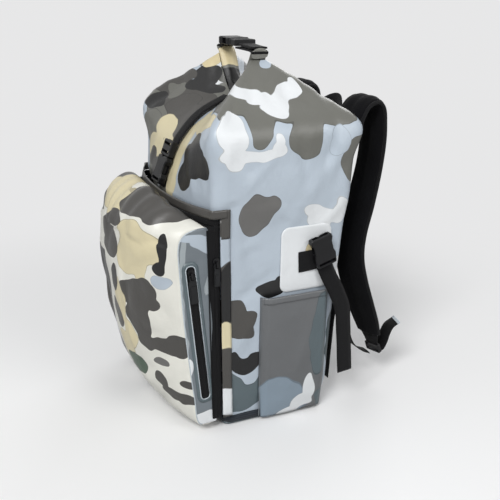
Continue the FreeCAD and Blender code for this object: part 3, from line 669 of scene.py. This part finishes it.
def tape(name, stations, thickness, steps=6, lanes=4, edge=0.35, crown=0.0, ripple=0.0):
    """A flat strip through stations of (centre, width, width direction), as closed cloth."""
    xs, ys, zs = ([s[0][k] for s in stations] for k in range(3))
    total = (len(stations) - 1) * steps
    path = [Vector([eased(values, i / total) for values in (xs, ys, zs)]) for i in range(total + 1)]
    rows = []
    for i, centre in enumerate(path):
        along = path_frame(path, i)
        width = eased([s[1] for s in stations], i / total)
        across = Vector([eased([s[2][k] for s in stations], i / total) for k in range(3)])
        across = (across - along * across.dot(along)).normalized()
        lift = along.cross(across)
        row = []
        for face in (1, -1):
            for k in range(lanes + 1):
                s = (-1 + 2 * k / lanes) * face
                thin = edge + (1 - edge) * (1 - abs(s) ** 4)
                bulge = crown * (1 - s * s)
                wave = ripple * noise.noise(centre * 40 + Vector((s * 1.5, 0, 0)))
                row.append(centre + across * (width / 2 * s)
                           + lift * (face * (thickness / 2 * thin + bulge) + wave))
        rows.append(row)
    return cloth_grid(name, rows, round_and_round=True, capped=True)


def stations(points, across, sx=1, width=25):
    """Stations of a tape from x, y, z and, where it differs, the width, all in millimetres."""
    return [(Vector((sx * x / 1000, y / 1000, z / 1000)), (own[0] if own else width) / 1000, across)
            for x, y, z, *own in points]


def cord_line(name, path, radius, sides=6):
    """A thin round piping along a path."""
    rows = []
    for i, centre in enumerate(path):
        along = path_frame(path, i)
        side = along.cross(Vector((0.31, 0.22, 0.92))).normalized()
        over = side.cross(along)
        rows.append([centre + (side * math.cos(2 * math.pi * k / sides)
                               + over * math.sin(2 * math.pi * k / sides)) * radius for k in range(sides)])
    return cloth_grid(name, rows, round_and_round=True, capped=True)


light_edge = webbing("light_edge_line", paint(190, 198, 204), sheen=0.05)
# The pale piping along each gusset seam is partly the seam's own light edge line and partly a painted
# highlight along it.
for side_name, sx in SIDES:
    seam = [Vector((sx * 0.1433, *eased_pair(COVER_SIDE, 0.08 + 0.86 * i / 80))) for i in range(81)]
    finish_piece(cord_line("gusset_seam_" + side_name, seam, 0.0011), "front_compartment", "camo_fabric",
                 light_edge)


# Front zip: a black coil zip that runs up both sides and over the compartment,
# its tapes welded to the pack and to the cover, under an olive covering welt.
zip_black = webbing("zip_tape_black", paint(12, 12, 14), ribs=2.0, sheen=0.04)
olive_welt = coated_fabric("olive_welt", "slate", [], scattered=False)
camo_welt = coated_fabric("camo_welt", "slate", [
    ("ice", [(146, -88, 282, 30, 40, 18)]),
    ("coal", [(146, -86, 215, 30, 40, 48)]),
    ("cream", [(146, -84, 147, 30, 40, 21)]),
    ("snow", [(146, -78, 44, 30, 40, 24)])], scattered=False)


def across_top(z, bow, corner_y):
    """Points of a line over the compartment, from one side of the pack to the other."""
    line = [Vector((0.1446, -0.094, z)), Vector((0.1446, -0.101, z)),
            Vector((0.1443, corner_y + 0.002, z))]
    for i in range(15):
        x = 0.140 * math.cos(math.pi * i / 14)
        x = math.copysign(abs(x) ** 0.8 * 0.140 ** 0.2, x)
        line.append(Vector((x, corner_y - bow * (1 - abs(x / COVER_HALF) ** 2.6), z)))
    return line + [Vector((-p.x, p.y, p.z)) for p in line[2::-1]]


for name, width, z, body, node in (
        ("pack_zip_half", 0.0096, 0.3202, "pack", "body_zip_tape"),
        ("cover_zip_half", 0.0078, 0.3110, "front_compartment", "flap_zip_tape")):
    half_tape = tape(name, [(p, width, TALL) for p in across_top(z, 0.031, -0.107)], 0.0015, steps=4)
    finish_piece(half_tape, body, "zip_tape", zip_black, node)
rows = []
for j in range(9):
    t = 0.925 + 0.072 * j / 8
    row = []
    for i in range(81):
        x = 0.1425 * math.copysign(abs(-1 + i / 40) ** 0.85, i - 40)
        p = cover_point(x, t)
        out = (cover_point(x + 0.002, t) - p).cross(cover_point(x, t + 0.004) - p).normalized()
        row.append(p + out * (cover_lift(p) + 0.0011))
    rows.append(row[::-1])
cover_edge = cloth_grid("cover_zip_edge", rows)
give_wall(cover_edge, 0.0009)
finish_piece(cover_edge, "front_compartment", "zip_tape", zip_black)
CORD_WAY = [(-0.1032, 0.022), (-0.1064, 0.13), (-0.1098, 0.25), (-0.1121, 0.310)]
for side_name, sx in SIDES:
    for which, body, low, high, top in (
            ("pack", "pack", (-0.0885, -0.0933), (-0.0945, -0.0995), 0.3225),
            ("cover", "front_compartment", (-0.0941, -0.1032), (-0.1003, -0.1121), 0.3148)):
        legs = []
        for i in range(7):
            t = i / 6
            edges = [a + (b - a) * t for a, b in zip(low, high)]
            legs.append((Vector((sx * (0.1440 + 0.0006 * math.sin(9 * t)), sum(edges) / 2,
                                 0.020 + (top - 0.020) * t)), abs(edges[0] - edges[1]), DEEP))
        leg = tape(which + "_zip_leg_" + side_name, legs, 0.0014, steps=5)
        finish_piece(leg, body, "zip_tape", zip_black)
    rim_line = [Vector((sx * 0.1452, *eased_pair(CORD_WAY, i / 40))) for i in range(41)]
    finish_piece(cord_line("cover_zip_cord_" + side_name, rim_line, 0.0009), "front_compartment",
                 "zip_tape", zip_black)
    coil_line = [Vector((sx * 0.1449, -0.0937 - 0.0069 * i / 60, 0.022 + 0.296 * i / 60)) for i in range(61)]
    coil = tape("zip_coil_" + side_name, [(p, 0.0042, DEEP) for p in coil_line[::6]], 0.0009, steps=6)
    finish_piece(coil, "pack", "zip_tape", zip_black)

for side_name, sx in SIDES:
    welt = tape("side_welt_" + side_name, [
        (Vector((sx * 0.1473, -0.0810 - 0.006 * t, 0.020 + 0.303 * t)), 0.0148, Vector((-sx * 0.05, 1, 0)))
        for t in (0, 0.25, 0.5, 0.75, 1)], 0.0012, steps=6, edge=0.8, ripple=0.0006)
    finish_piece(welt, "pack", "camo_fabric", camo_welt)
    corner = tape("corner_welt_" + side_name, [
        (Vector((sx * 0.1480, -0.0862, z)), 0.0132, DEEP) for z in (0.296, 0.310, 0.324, 0.3365)],
        0.0012, steps=3, edge=0.8)
    finish_piece(corner, "pack", "camo_fabric", olive_welt)
corner_line = [Vector((x, y, 0.3297)) for x, y in ((0.1483, -0.084), (0.1483, -0.095), (0.1470, -0.1052),
                                                   (0.139, -0.1085))]
middle_line = [Vector((x, -0.1080 - 0.0265 * (1 - abs(x / COVER_HALF) ** 2.4), 0.3297))
               for x in (0.115, 0.085, 0.05, 0.0, -0.05, -0.085, -0.115)]
top_line = corner_line + middle_line + [Vector((-p.x, p.y, p.z)) for p in corner_line[::-1]]
top_welt = tape("top_welt", [(p + Vector((0, 0, 0.0012)), 0.0120,
                              Vector((0, 0.22 if abs(p.x) < 0.14 else 0, 1))) for p in top_line],
                0.0013, steps=5, edge=0.8, ripple=0.0005)
finish_piece(top_welt, "pack", "camo_fabric", olive_welt, "zip_flange")


# Gusset zip: a shorter coil zip in the right-hand gusset, set in a slot whose
# frame is a welded grey patch with a light edge.
def slot_loop(half_width, half_length, lift, count=64):
    """A closed loop with round ends in the plane of the gusset."""
    points = []
    for i in range(count):
        turn = 2 * math.pi * i / count
        c, s = math.cos(turn), math.sin(turn)
        stretch = (half_length - half_width) * (1 if s > 0 else -1)
        points.append(ZIP_MIDDLE + ZIP_OUT * half_width * math.copysign(abs(c) ** 0.8, c)
                      + ZIP_UP * (half_width * s + stretch) + Vector((lift, 0, 0)))
    return points


frame_sheet_rows = [slot_loop(w, h, lift) for w, h, lift in
                    ((0.0118, 0.1095, 0.0005), (0.0117, 0.1094, 0.0022), (0.0090, 0.1060, 0.0026),
                     (0.0066, 0.1035, 0.0022), (0.0060, 0.1030, 0.0010))]
zip_frame = cloth_grid("gusset_zip_frame", frame_sheet_rows, round_and_round=True)
steel_frame = coated_fabric("grey_zip_frame", "tide", [], scattered=False)
finish_piece(zip_frame, "front_compartment", "grey_fabric", steel_frame, "side_zip_welt")
inner_edge = slot_loop(0.0068, 0.1037, 0.0026)
finish_piece(cord_line("gusset_zip_edge", inner_edge + inner_edge[:2], 0.0008), "front_compartment",
             "grey_fabric", light_edge)
gusset_zip = tape("gusset_zip_tape", [(ZIP_MIDDLE + ZIP_UP * v + Vector((0.0014, 0, 0)), 0.0126, ZIP_OUT)
                                      for v in (-0.1025, -0.05, 0, 0.05, 0.1025)], 0.0012, steps=6)
finish_piece(gusset_zip, "front_compartment", "zip_tape", zip_black, "side_zip_tape")
gusset_coil = tape("gusset_zip_coil", [(ZIP_MIDDLE + ZIP_UP * v + Vector((0.0022, 0, 0)), 0.0044, ZIP_OUT)
                                       for v in (-0.102, -0.05, 0, 0.05, 0.102)], 0.0008, steps=8)
finish_piece(gusset_coil, "front_compartment", "zip_tape", zip_black)


def moulded(name, tint, roughness, grain=0.4):
    """Moulded or painted hard part: fine grain, slight sheen, a little paler in soft random patches."""
    material, tree, shader = new_material(name)
    place = add_node(tree, "TexCoord").outputs["Object"]
    grit = clouds(tree, place, 900.0, 2.0)
    cloud = clouds(tree, place, 60.0, 3.0)
    light = tuple(v * 1.6 for v in tint[:3]) + (1.0,)
    shader.inputs["Specular IOR Level"].default_value = 0.35
    share = add_node(tree, "MapRange", (("Value", cloud), ("From Min", 0.4), ("From Max", 0.8))).outputs[0]
    tree.links.new(blended(tree, share, tint, light), shader.inputs["Base Color"])
    rough = add_node(tree, "MapRange", (("Value", cloud), ("To Min", roughness - 0.08),
                                        ("To Max", roughness + 0.1))).outputs[0]
    tree.links.new(rough, shader.inputs["Roughness"])
    bump = add_node(tree, "Bump", (("Strength", grain), ("Distance", 0.0001), ("Height", grit)))
    tree.links.new(bump.outputs[0], shader.inputs["Normal"])
    return material


def dress(material, *names):
    """Gives CAD nodes that stay their material."""
    for name in names:
        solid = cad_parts[name]
        if not solid.material_slots:
            solid.data.materials.append(material)
        for holder in solid.material_slots:
            holder.material = material


slider_black = moulded("slider_black", paint(14, 14, 16), 0.36)
pull_rubber = moulded("pull_rubber", paint(20, 21, 23), 0.62, grain=0.7)
dress(slider_black, "front_zip_slider", "side_zip_slider")
dress(pull_rubber, "front_zip_pull", "side_zip_pull")


# Side pockets: an open-topped slip pocket sewn flat to each side along three
# edges, of two-tone grey coated fabric, with a turned and stitched hem.
SLIP_LEVELS = [  # height, how far it stands off, how far its edges are drawn in
    (0.005, 0.0028, 0.005), (0.030, 0.0070, 0.0025), (0.055, 0.0090, 0.0), (0.130, 0.0108, 0.0),
    (0.180, 0.0100, 0.0), (0.201, 0.0095, 0.0)]
SLIP_PATCHES = [
    ("steel", [(150, -10, 20, 60, 60, 48), (-150, -10, 20, 60, 60, 48)]),
    ("snow", [(150, 50, 46, 30, 12, 22), (150, 38, 22, 30, 16, 16), (150, 20, 6, 30, 20, 10),
        (-150, 40, 30, 30, 20, 20)]),
    ("tide", [(150, 66, 130, 30, 20, 70), (150, 68, 20, 30, 10, 20)])]
slip_cloth = coated_fabric("two_tone_grey", "smoke", SLIP_PATCHES, scattered=False)
stitch_thread = webbing("stitch_thread", paint(128, 134, 138), sheen=0.1)
SLIP_FOLD = Vector((0, 0.06, 0.19)), Vector((0, 0.02, 0.06))


def slip_rise(s):
    """How far a side pocket is off its sewn edges, from 0 to 1, at a share of its width."""
    return min(1, math.sin(math.pi * s) * 3.6) ** 0.7


for side_name, sx in SIDES:
    rows = []
    for i in range(49):
        z = 0.005 + 0.196 * i / 48
        off, gather = between_levels(SLIP_LEVELS, z)
        front, back = -0.032 + gather, 0.078 - gather
        row = []
        for k in range(45):
            s = k / 44
            y = front + (back - front) * s
            rise = slip_rise(s)
            soft = off * rise + 0.0012 * noise.noise(Vector((y * 30, z * 26, sx * 3))) * rise
            soft += 0.0016 * fold(Vector((0, y, z)), SLIP_FOLD[0], SLIP_FOLD[1], 0.01, 1)
            row.append(Vector((sx * (0.1462 + soft), y, z)))
        rows.append(row if sx > 0 else row[::-1])
    pocket = cloth_grid("slip_pocket_sheet_" + side_name, rows)
    give_wall(pocket, 0.0014)
    finish_piece(pocket, "pack", "grey_fabric", slip_cloth, "slip_pocket_" + side_name)
    hem = tape("slip_hem_strip_" + side_name, [
        (Vector((sx * (0.1468 + 0.0098 * slip_rise(s)), -0.0315 + 0.109 * s, 0.1965)), 0.0095, TALL)
        for s in (0.03, 0.1, 0.2, 0.4, 0.6, 0.8, 0.9, 0.97)], 0.0012, steps=5, edge=0.9)
    finish_piece(hem, "pack", "grey_fabric", slip_cloth, "slip_hem_" + side_name)
    edge_path = [Vector((sx * 0.1474, -0.0305, 0.199 - 0.19 * i / 40)) for i in range(41)]
    finish_piece(cord_line("slip_seam_" + side_name, edge_path, 0.0007), "pack", "grey_fabric",
                 stitch_thread)


# Side patches: a pale rounded panel welded to each side behind the pocket's
# mouth, with the black webbing anchor sewn through it.
# Painted shade: the sand spot just above the webbing anchor darkens the pale panel beside it; the panel
# itself is plain white.
white_panel = coated_fabric("white_panel", "snow", [
    ("sand", [(147, 46, 262, 30, 16, 20), (-147, 46, 262, 30, 16, 20)])], scattered=False)
black_web = webbing("black_webbing", paint(11, 11, 13), sheen=0.06)
for side_name, sx in SIDES:
    outline = []
    for cy, cz, start in ((0.066, 0.288, 0), (0.010, 0.288, 90), (0.010, 0.215, 180), (0.066, 0.215, 270)):
        for k in range(9):
            turn = math.radians(start + 90 * k / 8)
            outline.append((cy + 0.012 * math.cos(turn), cz + 0.012 * math.sin(turn)))
    rows = []
    for shrink, x in ((1.0, 0.1464), (1.0, 0.1472), (0.985, 0.1478), (0.93, 0.1477), (0.5, 0.1479),
                      (0.02, 0.1480)):
        rows.append([Vector((sx * (x + 0.0005 * noise.noise(Vector((y * 40, z * 40, 1)))),
                             0.038 + (y - 0.038) * shrink, 0.2515 + (z - 0.2515) * shrink))
                     for y, z in outline])
    panel = cloth_grid("side_panel_patch_" + side_name, [r if sx > 0 else r[::-1] for r in rows],
                       round_and_round=True, capped=True)
    finish_piece(panel, "pack", "white_fabric", white_panel, "side_patch_" + side_name)
    anchor = tape("side_anchor_tab_" + side_name, [
        (Vector((sx * 0.1489, 0.026, 0.2465)), 0.031, Vector((0, -0.15, 1))),
        (Vector((sx * 0.1492, 0.044, 0.2475)), 0.031, Vector((0, -0.15, 1))),
        (Vector((sx * 0.1500, 0.060, 0.2490)), 0.029, Vector((0, -0.2, 1)))], 0.0018, steps=6)
    finish_piece(anchor, "pack", "black_webbing", black_web, "side_anchor_" + side_name)
    lean = math.radians(17)
    lean_across = Vector((0, math.cos(lean), math.sin(lean)))
    tail = tape("side_tail_" + side_name, [
        (Vector((sx * 0.1509, 0.0655, 0.2410)), 0.025, lean_across),
        (Vector((sx * 0.1560, 0.0735, 0.2200)), 0.025, lean_across),
        (Vector((sx * 0.1605, 0.0840, 0.1980)), 0.025, Vector((0, 1, 0.25))),
        (Vector((sx * 0.1610, 0.0955, 0.1700)), 0.025, Vector((0, 1, 0.2))),
        (Vector((sx * 0.1590, 0.1000, 0.1450)), 0.025, Vector((0, 1, 0.1))),
        (Vector((sx * 0.1597, 0.1030, 0.1100)), 0.025, Vector((0, 1, 0.15))),
        (Vector((sx * 0.1590, 0.1080, 0.0610)), 0.025, Vector((0, 1, 0.3)))], 0.0017, steps=7, ripple=0.0006)
    finish_piece(tail, "pack", "black_webbing", black_web, "side_strap_tail_" + side_name)
    loop = tape("side_buckle_loop_" + side_name, stations(
        [(150, 60, 256), (154.5, 64, 244), (155.3, 66.5, 240)], lean_across, sx, 22), 0.0015, steps=5)
    finish_piece(loop, "pack", "black_webbing", black_web)

buckle_black = moulded("buckle_black", paint(13, 13, 15), 0.42)
dress(buckle_black, "side_buckle_right", "side_buckle_left", "top_buckle_female", "top_buckle_male",
      "front_buckle_female", "front_buckle_male", "ladder_lock_right", "ladder_lock_left")


# Front strap: webbing from the notch down to an anchor above the zip, laid over
# the front of the bag and threaded through the front buckle.
strap_line = [(y - 0.0010, z + 0.0008) for y, z in (
    (-0.1146, 0.3660), (-0.1122, 0.3738), (-0.0970, 0.4062), (-0.0640, 0.4402), (-0.0212, 0.4615))]
front_strap = tape("front_webbing", [(Vector((0, y, z)), 0.025, WIDE) for y, z in strap_line],
                   0.0018, steps=8, ripple=0.0003)
finish_piece(front_strap, "pack", "black_webbing", black_web, "front_strap")
front_anchor = tape("front_anchor_tab", stations([(0, -126, 337.5), (0, -124.8, 348), (0, -121.5, 356)],
                                                 WIDE), 0.0030, steps=6)
finish_piece(front_anchor, "pack", "black_webbing", black_web, "front_anchor")
TAB_LINES = {"right": [(0.0065, 0.5307), (0.016, 0.5307), (0.030, 0.5306), (0.048, 0.5304), (0.057, 0.5298),
                       (0.0625, 0.5275)],
             "left": [(-0.0400, 0.5307), (-0.048, 0.5306), (-0.056, 0.5300), (-0.0625, 0.5275)]}
for side_name, line in TAB_LINES.items():
    tab = tape("ear_tab_" + side_name, [(Vector((x, 0, z)), 0.0255, DEEP) for x, z in line],
               0.0030, steps=6, edge=0.8)
    finish_piece(tab, "pack", "black_webbing", black_web, "closure_tab_" + side_name)
plug_loop = tape("plug_webbing_loop", [(Vector((x, 0, z)), 0.0245, DEEP) for x, z in (
    (0.0035, 0.5366), (0.0100, 0.5362), (0.0220, 0.5354), (0.0380, 0.5346), (0.0520, 0.5343),
    (0.0600, 0.5342))],
    0.0030, steps=5, edge=0.8)
finish_piece(plug_loop, "top_buckle_male", "black_webbing", black_web)


# Shoulder straps: foam-filled air mesh, bound along both edges and quilted down
# the middle, sewn to the yoke at the top and tapering to a webbing tab.
STRAP_WAY = [  # y, z, width, backward turn of the outer edge in degrees
    (0.1298, 0.412, 0.064, 0), (0.132, 0.435, 0.064, 0), (0.142, 0.455, 0.064, 0), (0.157, 0.462, 0.064, 0),
    (0.168, 0.453, 0.064, 0), (0.172, 0.430, 0.064, 0), (0.173, 0.400, 0.064, 0), (0.169, 0.359, 0.064, 0),
    (0.159, 0.309, 0.064, 3), (0.148, 0.266, 0.063, 7), (0.145, 0.228, 0.062, 11), (0.153, 0.190, 0.060, 15),
    (0.168, 0.147, 0.058, 17), (0.183, 0.109, 0.054, 17), (0.193, 0.082, 0.046, 15)]


def air_mesh(name, tint):
    """Spacer mesh: small hollow cells over dark foam, matt; the raised cell rims are painted paler as a
    highlight, in soft patches.
    """
    material, tree, shader = new_material(name)
    place = add_node(tree, "TexCoord").outputs["Object"]
    cells = add_node(tree, "TexVoronoi", (("Vector", place), ("Scale", 420.0), ("Randomness", 0.25)))
    fluff = clouds(tree, place, 35.0, 4.0)
    light = tuple(v * 2.4 for v in tint[:3]) + (1.0,)
    # Painted highlight: the raised rims of the cells, where the bump is highest, take the paler colour, more
    # in some soft patches than in others.
    share = add_node(tree, "MapRange", (("Value", cells.outputs["Distance"]), ("From Min", 0.1),
                                        ("From Max", 0.6))).outputs[0]
    share = arithmetic(tree, "MULTIPLY", share, fluff)
    tree.links.new(blended(tree, share, tint, light), shader.inputs["Base Color"])
    bump = add_node(tree, "Bump", (("Strength", 0.5), ("Distance", 0.0006),
                                   ("Height", cells.outputs["Distance"])))
    soft = add_node(tree, "Bump", (("Strength", 0.35), ("Distance", 0.002), ("Height", fluff),
                                   ("Normal", bump.outputs[0])))
    tree.links.new(soft.outputs[0], shader.inputs["Normal"])
    shader.inputs["Roughness"].default_value = 0.9
    shader.inputs["Specular IOR Level"].default_value = 0.15
    shader.inputs["Sheen Weight"].default_value = 0.03
    return material


strap_mesh = air_mesh("strap_mesh", paint(6, 6, 8))
binding = webbing("edge_binding", paint(12, 12, 14), ribs=1.4, sheen=0.06)


def strap_frame(sx, t):
    """Centre, direction along, direction across and width of a strap at a share of its length."""
    def at(u):
        return Vector((sx * 0.095, eased([s[0] for s in STRAP_WAY], u), eased([s[1] for s in STRAP_WAY], u)))

    centre = at(t)
    along = (at(min(t + 0.004, 1)) - at(max(t - 0.004, 0))).normalized()
    turn = math.radians(eased([s[3] for s in STRAP_WAY], t))
    across = Vector((math.cos(turn), sx * math.sin(turn), 0))
    across = (across - along * across.dot(along)).normalized()
    return centre, along, across, eased([s[2] for s in STRAP_WAY], t)


for side_name, sx in SIDES:
    body = "shoulder_strap_" + side_name
    rows, edges = [], ([], [])
    for i in range(141):
        t = i / 140
        centre, along, across, width = strap_frame(sx, t)
        lift = along.cross(across)
        end = min(1, min(t, 1 - t) / 0.012) ** 0.5
        row = []
        for face in (1, -1):
            for k in range(17):
                s = (-1 + 2 * k / 16) * face
                round_edge = (1 - abs(s) ** 5) ** 0.8
                quilt = 0.0016 * math.exp(-((abs(s) - 0.70) / 0.07) ** 2)
                quilt += 0.0009 * math.exp(-(s / 0.08) ** 2)
                thick = 0.0016 + 0.0052 * round_edge * end - quilt
                thick += 0.0007 * noise.noise(centre * 38 + Vector((s * 2, face, 0)))
                row.append(centre + across * (width / 2 - 0.001) * s + lift * face * thick)
        rows.append(row)
        for line, s in zip(edges, (-1, 1)):
            line.append(centre + across * (width / 2 - 0.0015) * s)
    strap = cloth_grid("padded_strap_" + side_name, rows, round_and_round=True, capped=True)
    finish_piece(strap, body, "padded_mesh", strap_mesh, body)
    for which, line in zip(("inner", "outer"), edges):
        bead = cord_line("strap_binding_%s_%s" % (which, side_name), line[1:-1], 0.0027, sides=8)
        finish_piece(bead, body, "padded_mesh", binding)
    end, along, across, width = strap_frame(sx, 1.0)
    tab = tape("strap_tab_" + side_name, [
        (end + along * past, width, across) for past, width in
        ((-0.012, 0.038), (0.002, 0.036), (0.012, 0.030), (0.0235, 0.025))], 0.0030, steps=5)
    finish_piece(tab, body, "padded_mesh", binding, "strap_end_tab_" + side_name)
    lock_at = end + along * 0.030
    tail = tape("adjuster_tail_" + side_name, [
        (lock_at + along * 0.001 + Vector((0, 0.0045, 0.0010)), 0.022, across),
        (lock_at + along * 0.004 + Vector((0, 0.0095, 0.0010)), 0.022, across),
        *stations([(98, 219, 64), (98.5, 223, 78), (99, 229, 89), (101, 241, 97.5)], across, sx, 22)],
        0.0017, steps=7)
    finish_piece(tail, body, "black_webbing", black_web, "webbing_tail_" + side_name)
    tip = tape("tail_tip_" + side_name, stations([(100.5, 238.5, 96), (101.2, 242.5, 98.5)], across, sx,
                                                 22.6), 0.0026, steps=4)
    finish_piece(tip, body, "black_webbing", light_edge)
    lower = tape("lower_strap_" + side_name, stations([
        (124, 93.5, 40), (124, 96.5, 104), (122, 101, 150), (119, 113, 169), (113, 128, 152, 24),
        (105, 139, 112, 23), (99, 153, 78, 22), (95, 173, 57, 22), (95, 191, 48, 22)], WIDE, sx),
        0.0017, steps=7, ripple=0.0005)
    lower.data.materials.append(black_web)
    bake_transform(lower)
    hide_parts("lower_webbing_" + side_name)
    corner_tab = tape("corner_tab_sheet_" + side_name, [
        (Vector((sx * 0.115, 0.0866 + 0.0030 * t, 0.028 + 0.036 * t)), 0.022, WIDE)
        for t in (0, 0.33, 0.66, 1)], 0.0022, steps=4)
    finish_piece(corner_tab, "pack", "black_webbing", black_web, "corner_tab_" + side_name)


# Back: a padded air-mesh panel against the wearer, a webbing yoke above it that
# carries the straps, and a grab handle. A stiff sheet lies inside the back wall.
def back_wall(z):
    """How far back the back wall stands at a height."""
    table = [(0.004, 0.080), (0.046, 0.088), (0.185, 0.094), (0.312, 0.106), (0.333, 0.108), (0.386, 0.114),
             (0.439, 0.121)]
    for (z0, y0), (z1, y1) in zip(table, table[1:]):
        if z <= z1:
            return y0 + (y1 - y0) * (z - z0) / (z1 - z0)
    return table[-1][1]


def swollen(piece, voxel, cap, held):
    """Remeshes a padded piece and lets its filling swell it, held where it is sewn down."""
    bpy.ops.object.select_all(action="DESELECT")
    piece.select_set(True)
    bpy.context.view_layer.objects.active = piece
    piece.data.remesh_voxel_size = voxel
    bpy.ops.object.voxel_remesh()
    before = [vertex.co.copy() for vertex in piece.data.vertices]
    sewn = piece.vertex_groups.new(name="sewn_down")
    sewn.add([i for i, p in enumerate(before) if held(p)], 1.0, "REPLACE")
    filling = piece.modifiers.new("filling", "CLOTH")
    filling.settings.use_pressure = True
    filling.settings.uniform_pressure_force = 4.0
    filling.settings.effector_weights.gravity = 0.0
    filling.settings.vertex_group_mass = "sewn_down"
    for step in range(1, 21):
        bpy.context.scene.frame_set(step)
    swelled = piece.evaluated_get(bpy.context.evaluated_depsgraph_get()).to_mesh()
    after = [vertex.co.copy() for vertex in swelled.vertices]
    piece.modifiers.remove(filling)
    bpy.context.scene.frame_set(1)
    for vertex, start, end in zip(piece.data.vertices, before, after):
        move = end - start
        vertex.co = start + move * min(1, cap / max(move.length, 1e-9))
    finer = piece.modifiers.new("finer", "SUBSURF")
    finer.levels = finer.render_levels = 1
    bpy.ops.object.modifier_apply(modifier="finer")
    for face in piece.data.polygons:
        face.use_smooth = True


CHANNELS = (0.13, 0.225, 0.32)


def sewn_to_wall(p):
    """Whether the padding is held at a point: at the wall, its rim, its middle seam or a channel."""
    return (p.y < back_wall(p.z) + 0.002 or abs(p.x) < 0.004 or abs(p.x) > 0.090 or p.z < 0.044
            or p.z > 0.386 or min(abs(p.z - line) for line in CHANNELS) < 0.0035)


rows = []
for i in range(91):
    v = i / 90
    z = 0.036 + 0.358 * v
    row = []
    for face in (1, -1):
        for k in range(49):
            s = (-1 + 2 * k / 48) * face
            edge = (1 - abs(s) ** 8) * (1 - abs(2 * v - 1) ** 14)
            thick = (0.0025 + 0.0055 * max(edge, 0) ** 0.6) if face > 0 else 0.0
            narrow = 1 - 0.10 * abs(2 * v - 1) ** 6
            row.append(Vector((s * 0.098 * narrow, back_wall(z) + 0.0004 + thick, z)))
    rows.append(row)
back_pad = cloth_grid("back_padding", rows, round_and_round=True, capped=True)
swollen(back_pad, 0.0045, 0.005, sewn_to_wall)
for vertex in back_pad.data.vertices:
    p = vertex.co
    if p.y > back_wall(p.z) + 0.003:
        sunk = max(math.exp(-((p.z - line) / 0.0045) ** 2) for line in CHANNELS)
        sunk = max(sunk, math.exp(-(p.x / 0.009) ** 2))
        p.y -= (p.y - back_wall(p.z) - 0.0028) * 0.75 * sunk
finish_piece(back_pad, "pack", "padded_mesh", air_mesh("back_mesh", paint(11, 11, 13)), "back_pad")
rim = []
for k in range(121):
    turn = 2 * math.pi * k / 120
    c, s = math.cos(turn), math.sin(turn)
    z = 0.215 + 0.178 * math.copysign(abs(s) ** 0.22, s)
    narrow = 1 - 0.10 * abs((z - 0.215) / 0.179) ** 6
    rim.append(Vector((0.0985 * narrow * math.copysign(abs(c) ** 0.22, c), back_wall(z) + 0.0022, z)))
finish_piece(cord_line("back_pad_binding", rim + rim[:1], 0.0024), "pack", "padded_mesh", binding)
yoke = tape("yoke_band", [(Vector((x, back_wall(0.410) + 0.0024 - 0.0016 * (abs(x) > 0.12), 0.410)), 0.022,
                           Vector((0, 0.13, 1)))
                          for x in (-0.131, -0.1, -0.05, 0, 0.05, 0.1, 0.131)], 0.0034,
            steps=5)
finish_piece(yoke, "pack", "padded_mesh", binding, "shoulder_yoke")
handle_line = [(-0.038, 0.1236, 0.408), (-0.0375, 0.133, 0.408), (-0.033, 0.148, 0.422),
               (-0.020, 0.161, 0.439), (0.0, 0.166, 0.446), (0.020, 0.161, 0.439),
               (0.033, 0.148, 0.422), (0.0375, 0.133, 0.408), (0.038, 0.1236, 0.408)]
handle = tape("grab_loop", [(Vector(p), 0.024, TALL) for p in handle_line], 0.0032, steps=7,
              crown=0.0004)
finish_piece(handle, "grab_handle", "black_webbing", black_web, "grab_handle")
dress(moulded("frame_board", paint(38, 38, 40), 0.6), "frame_sheet")

bpy.context.view_layer.update()
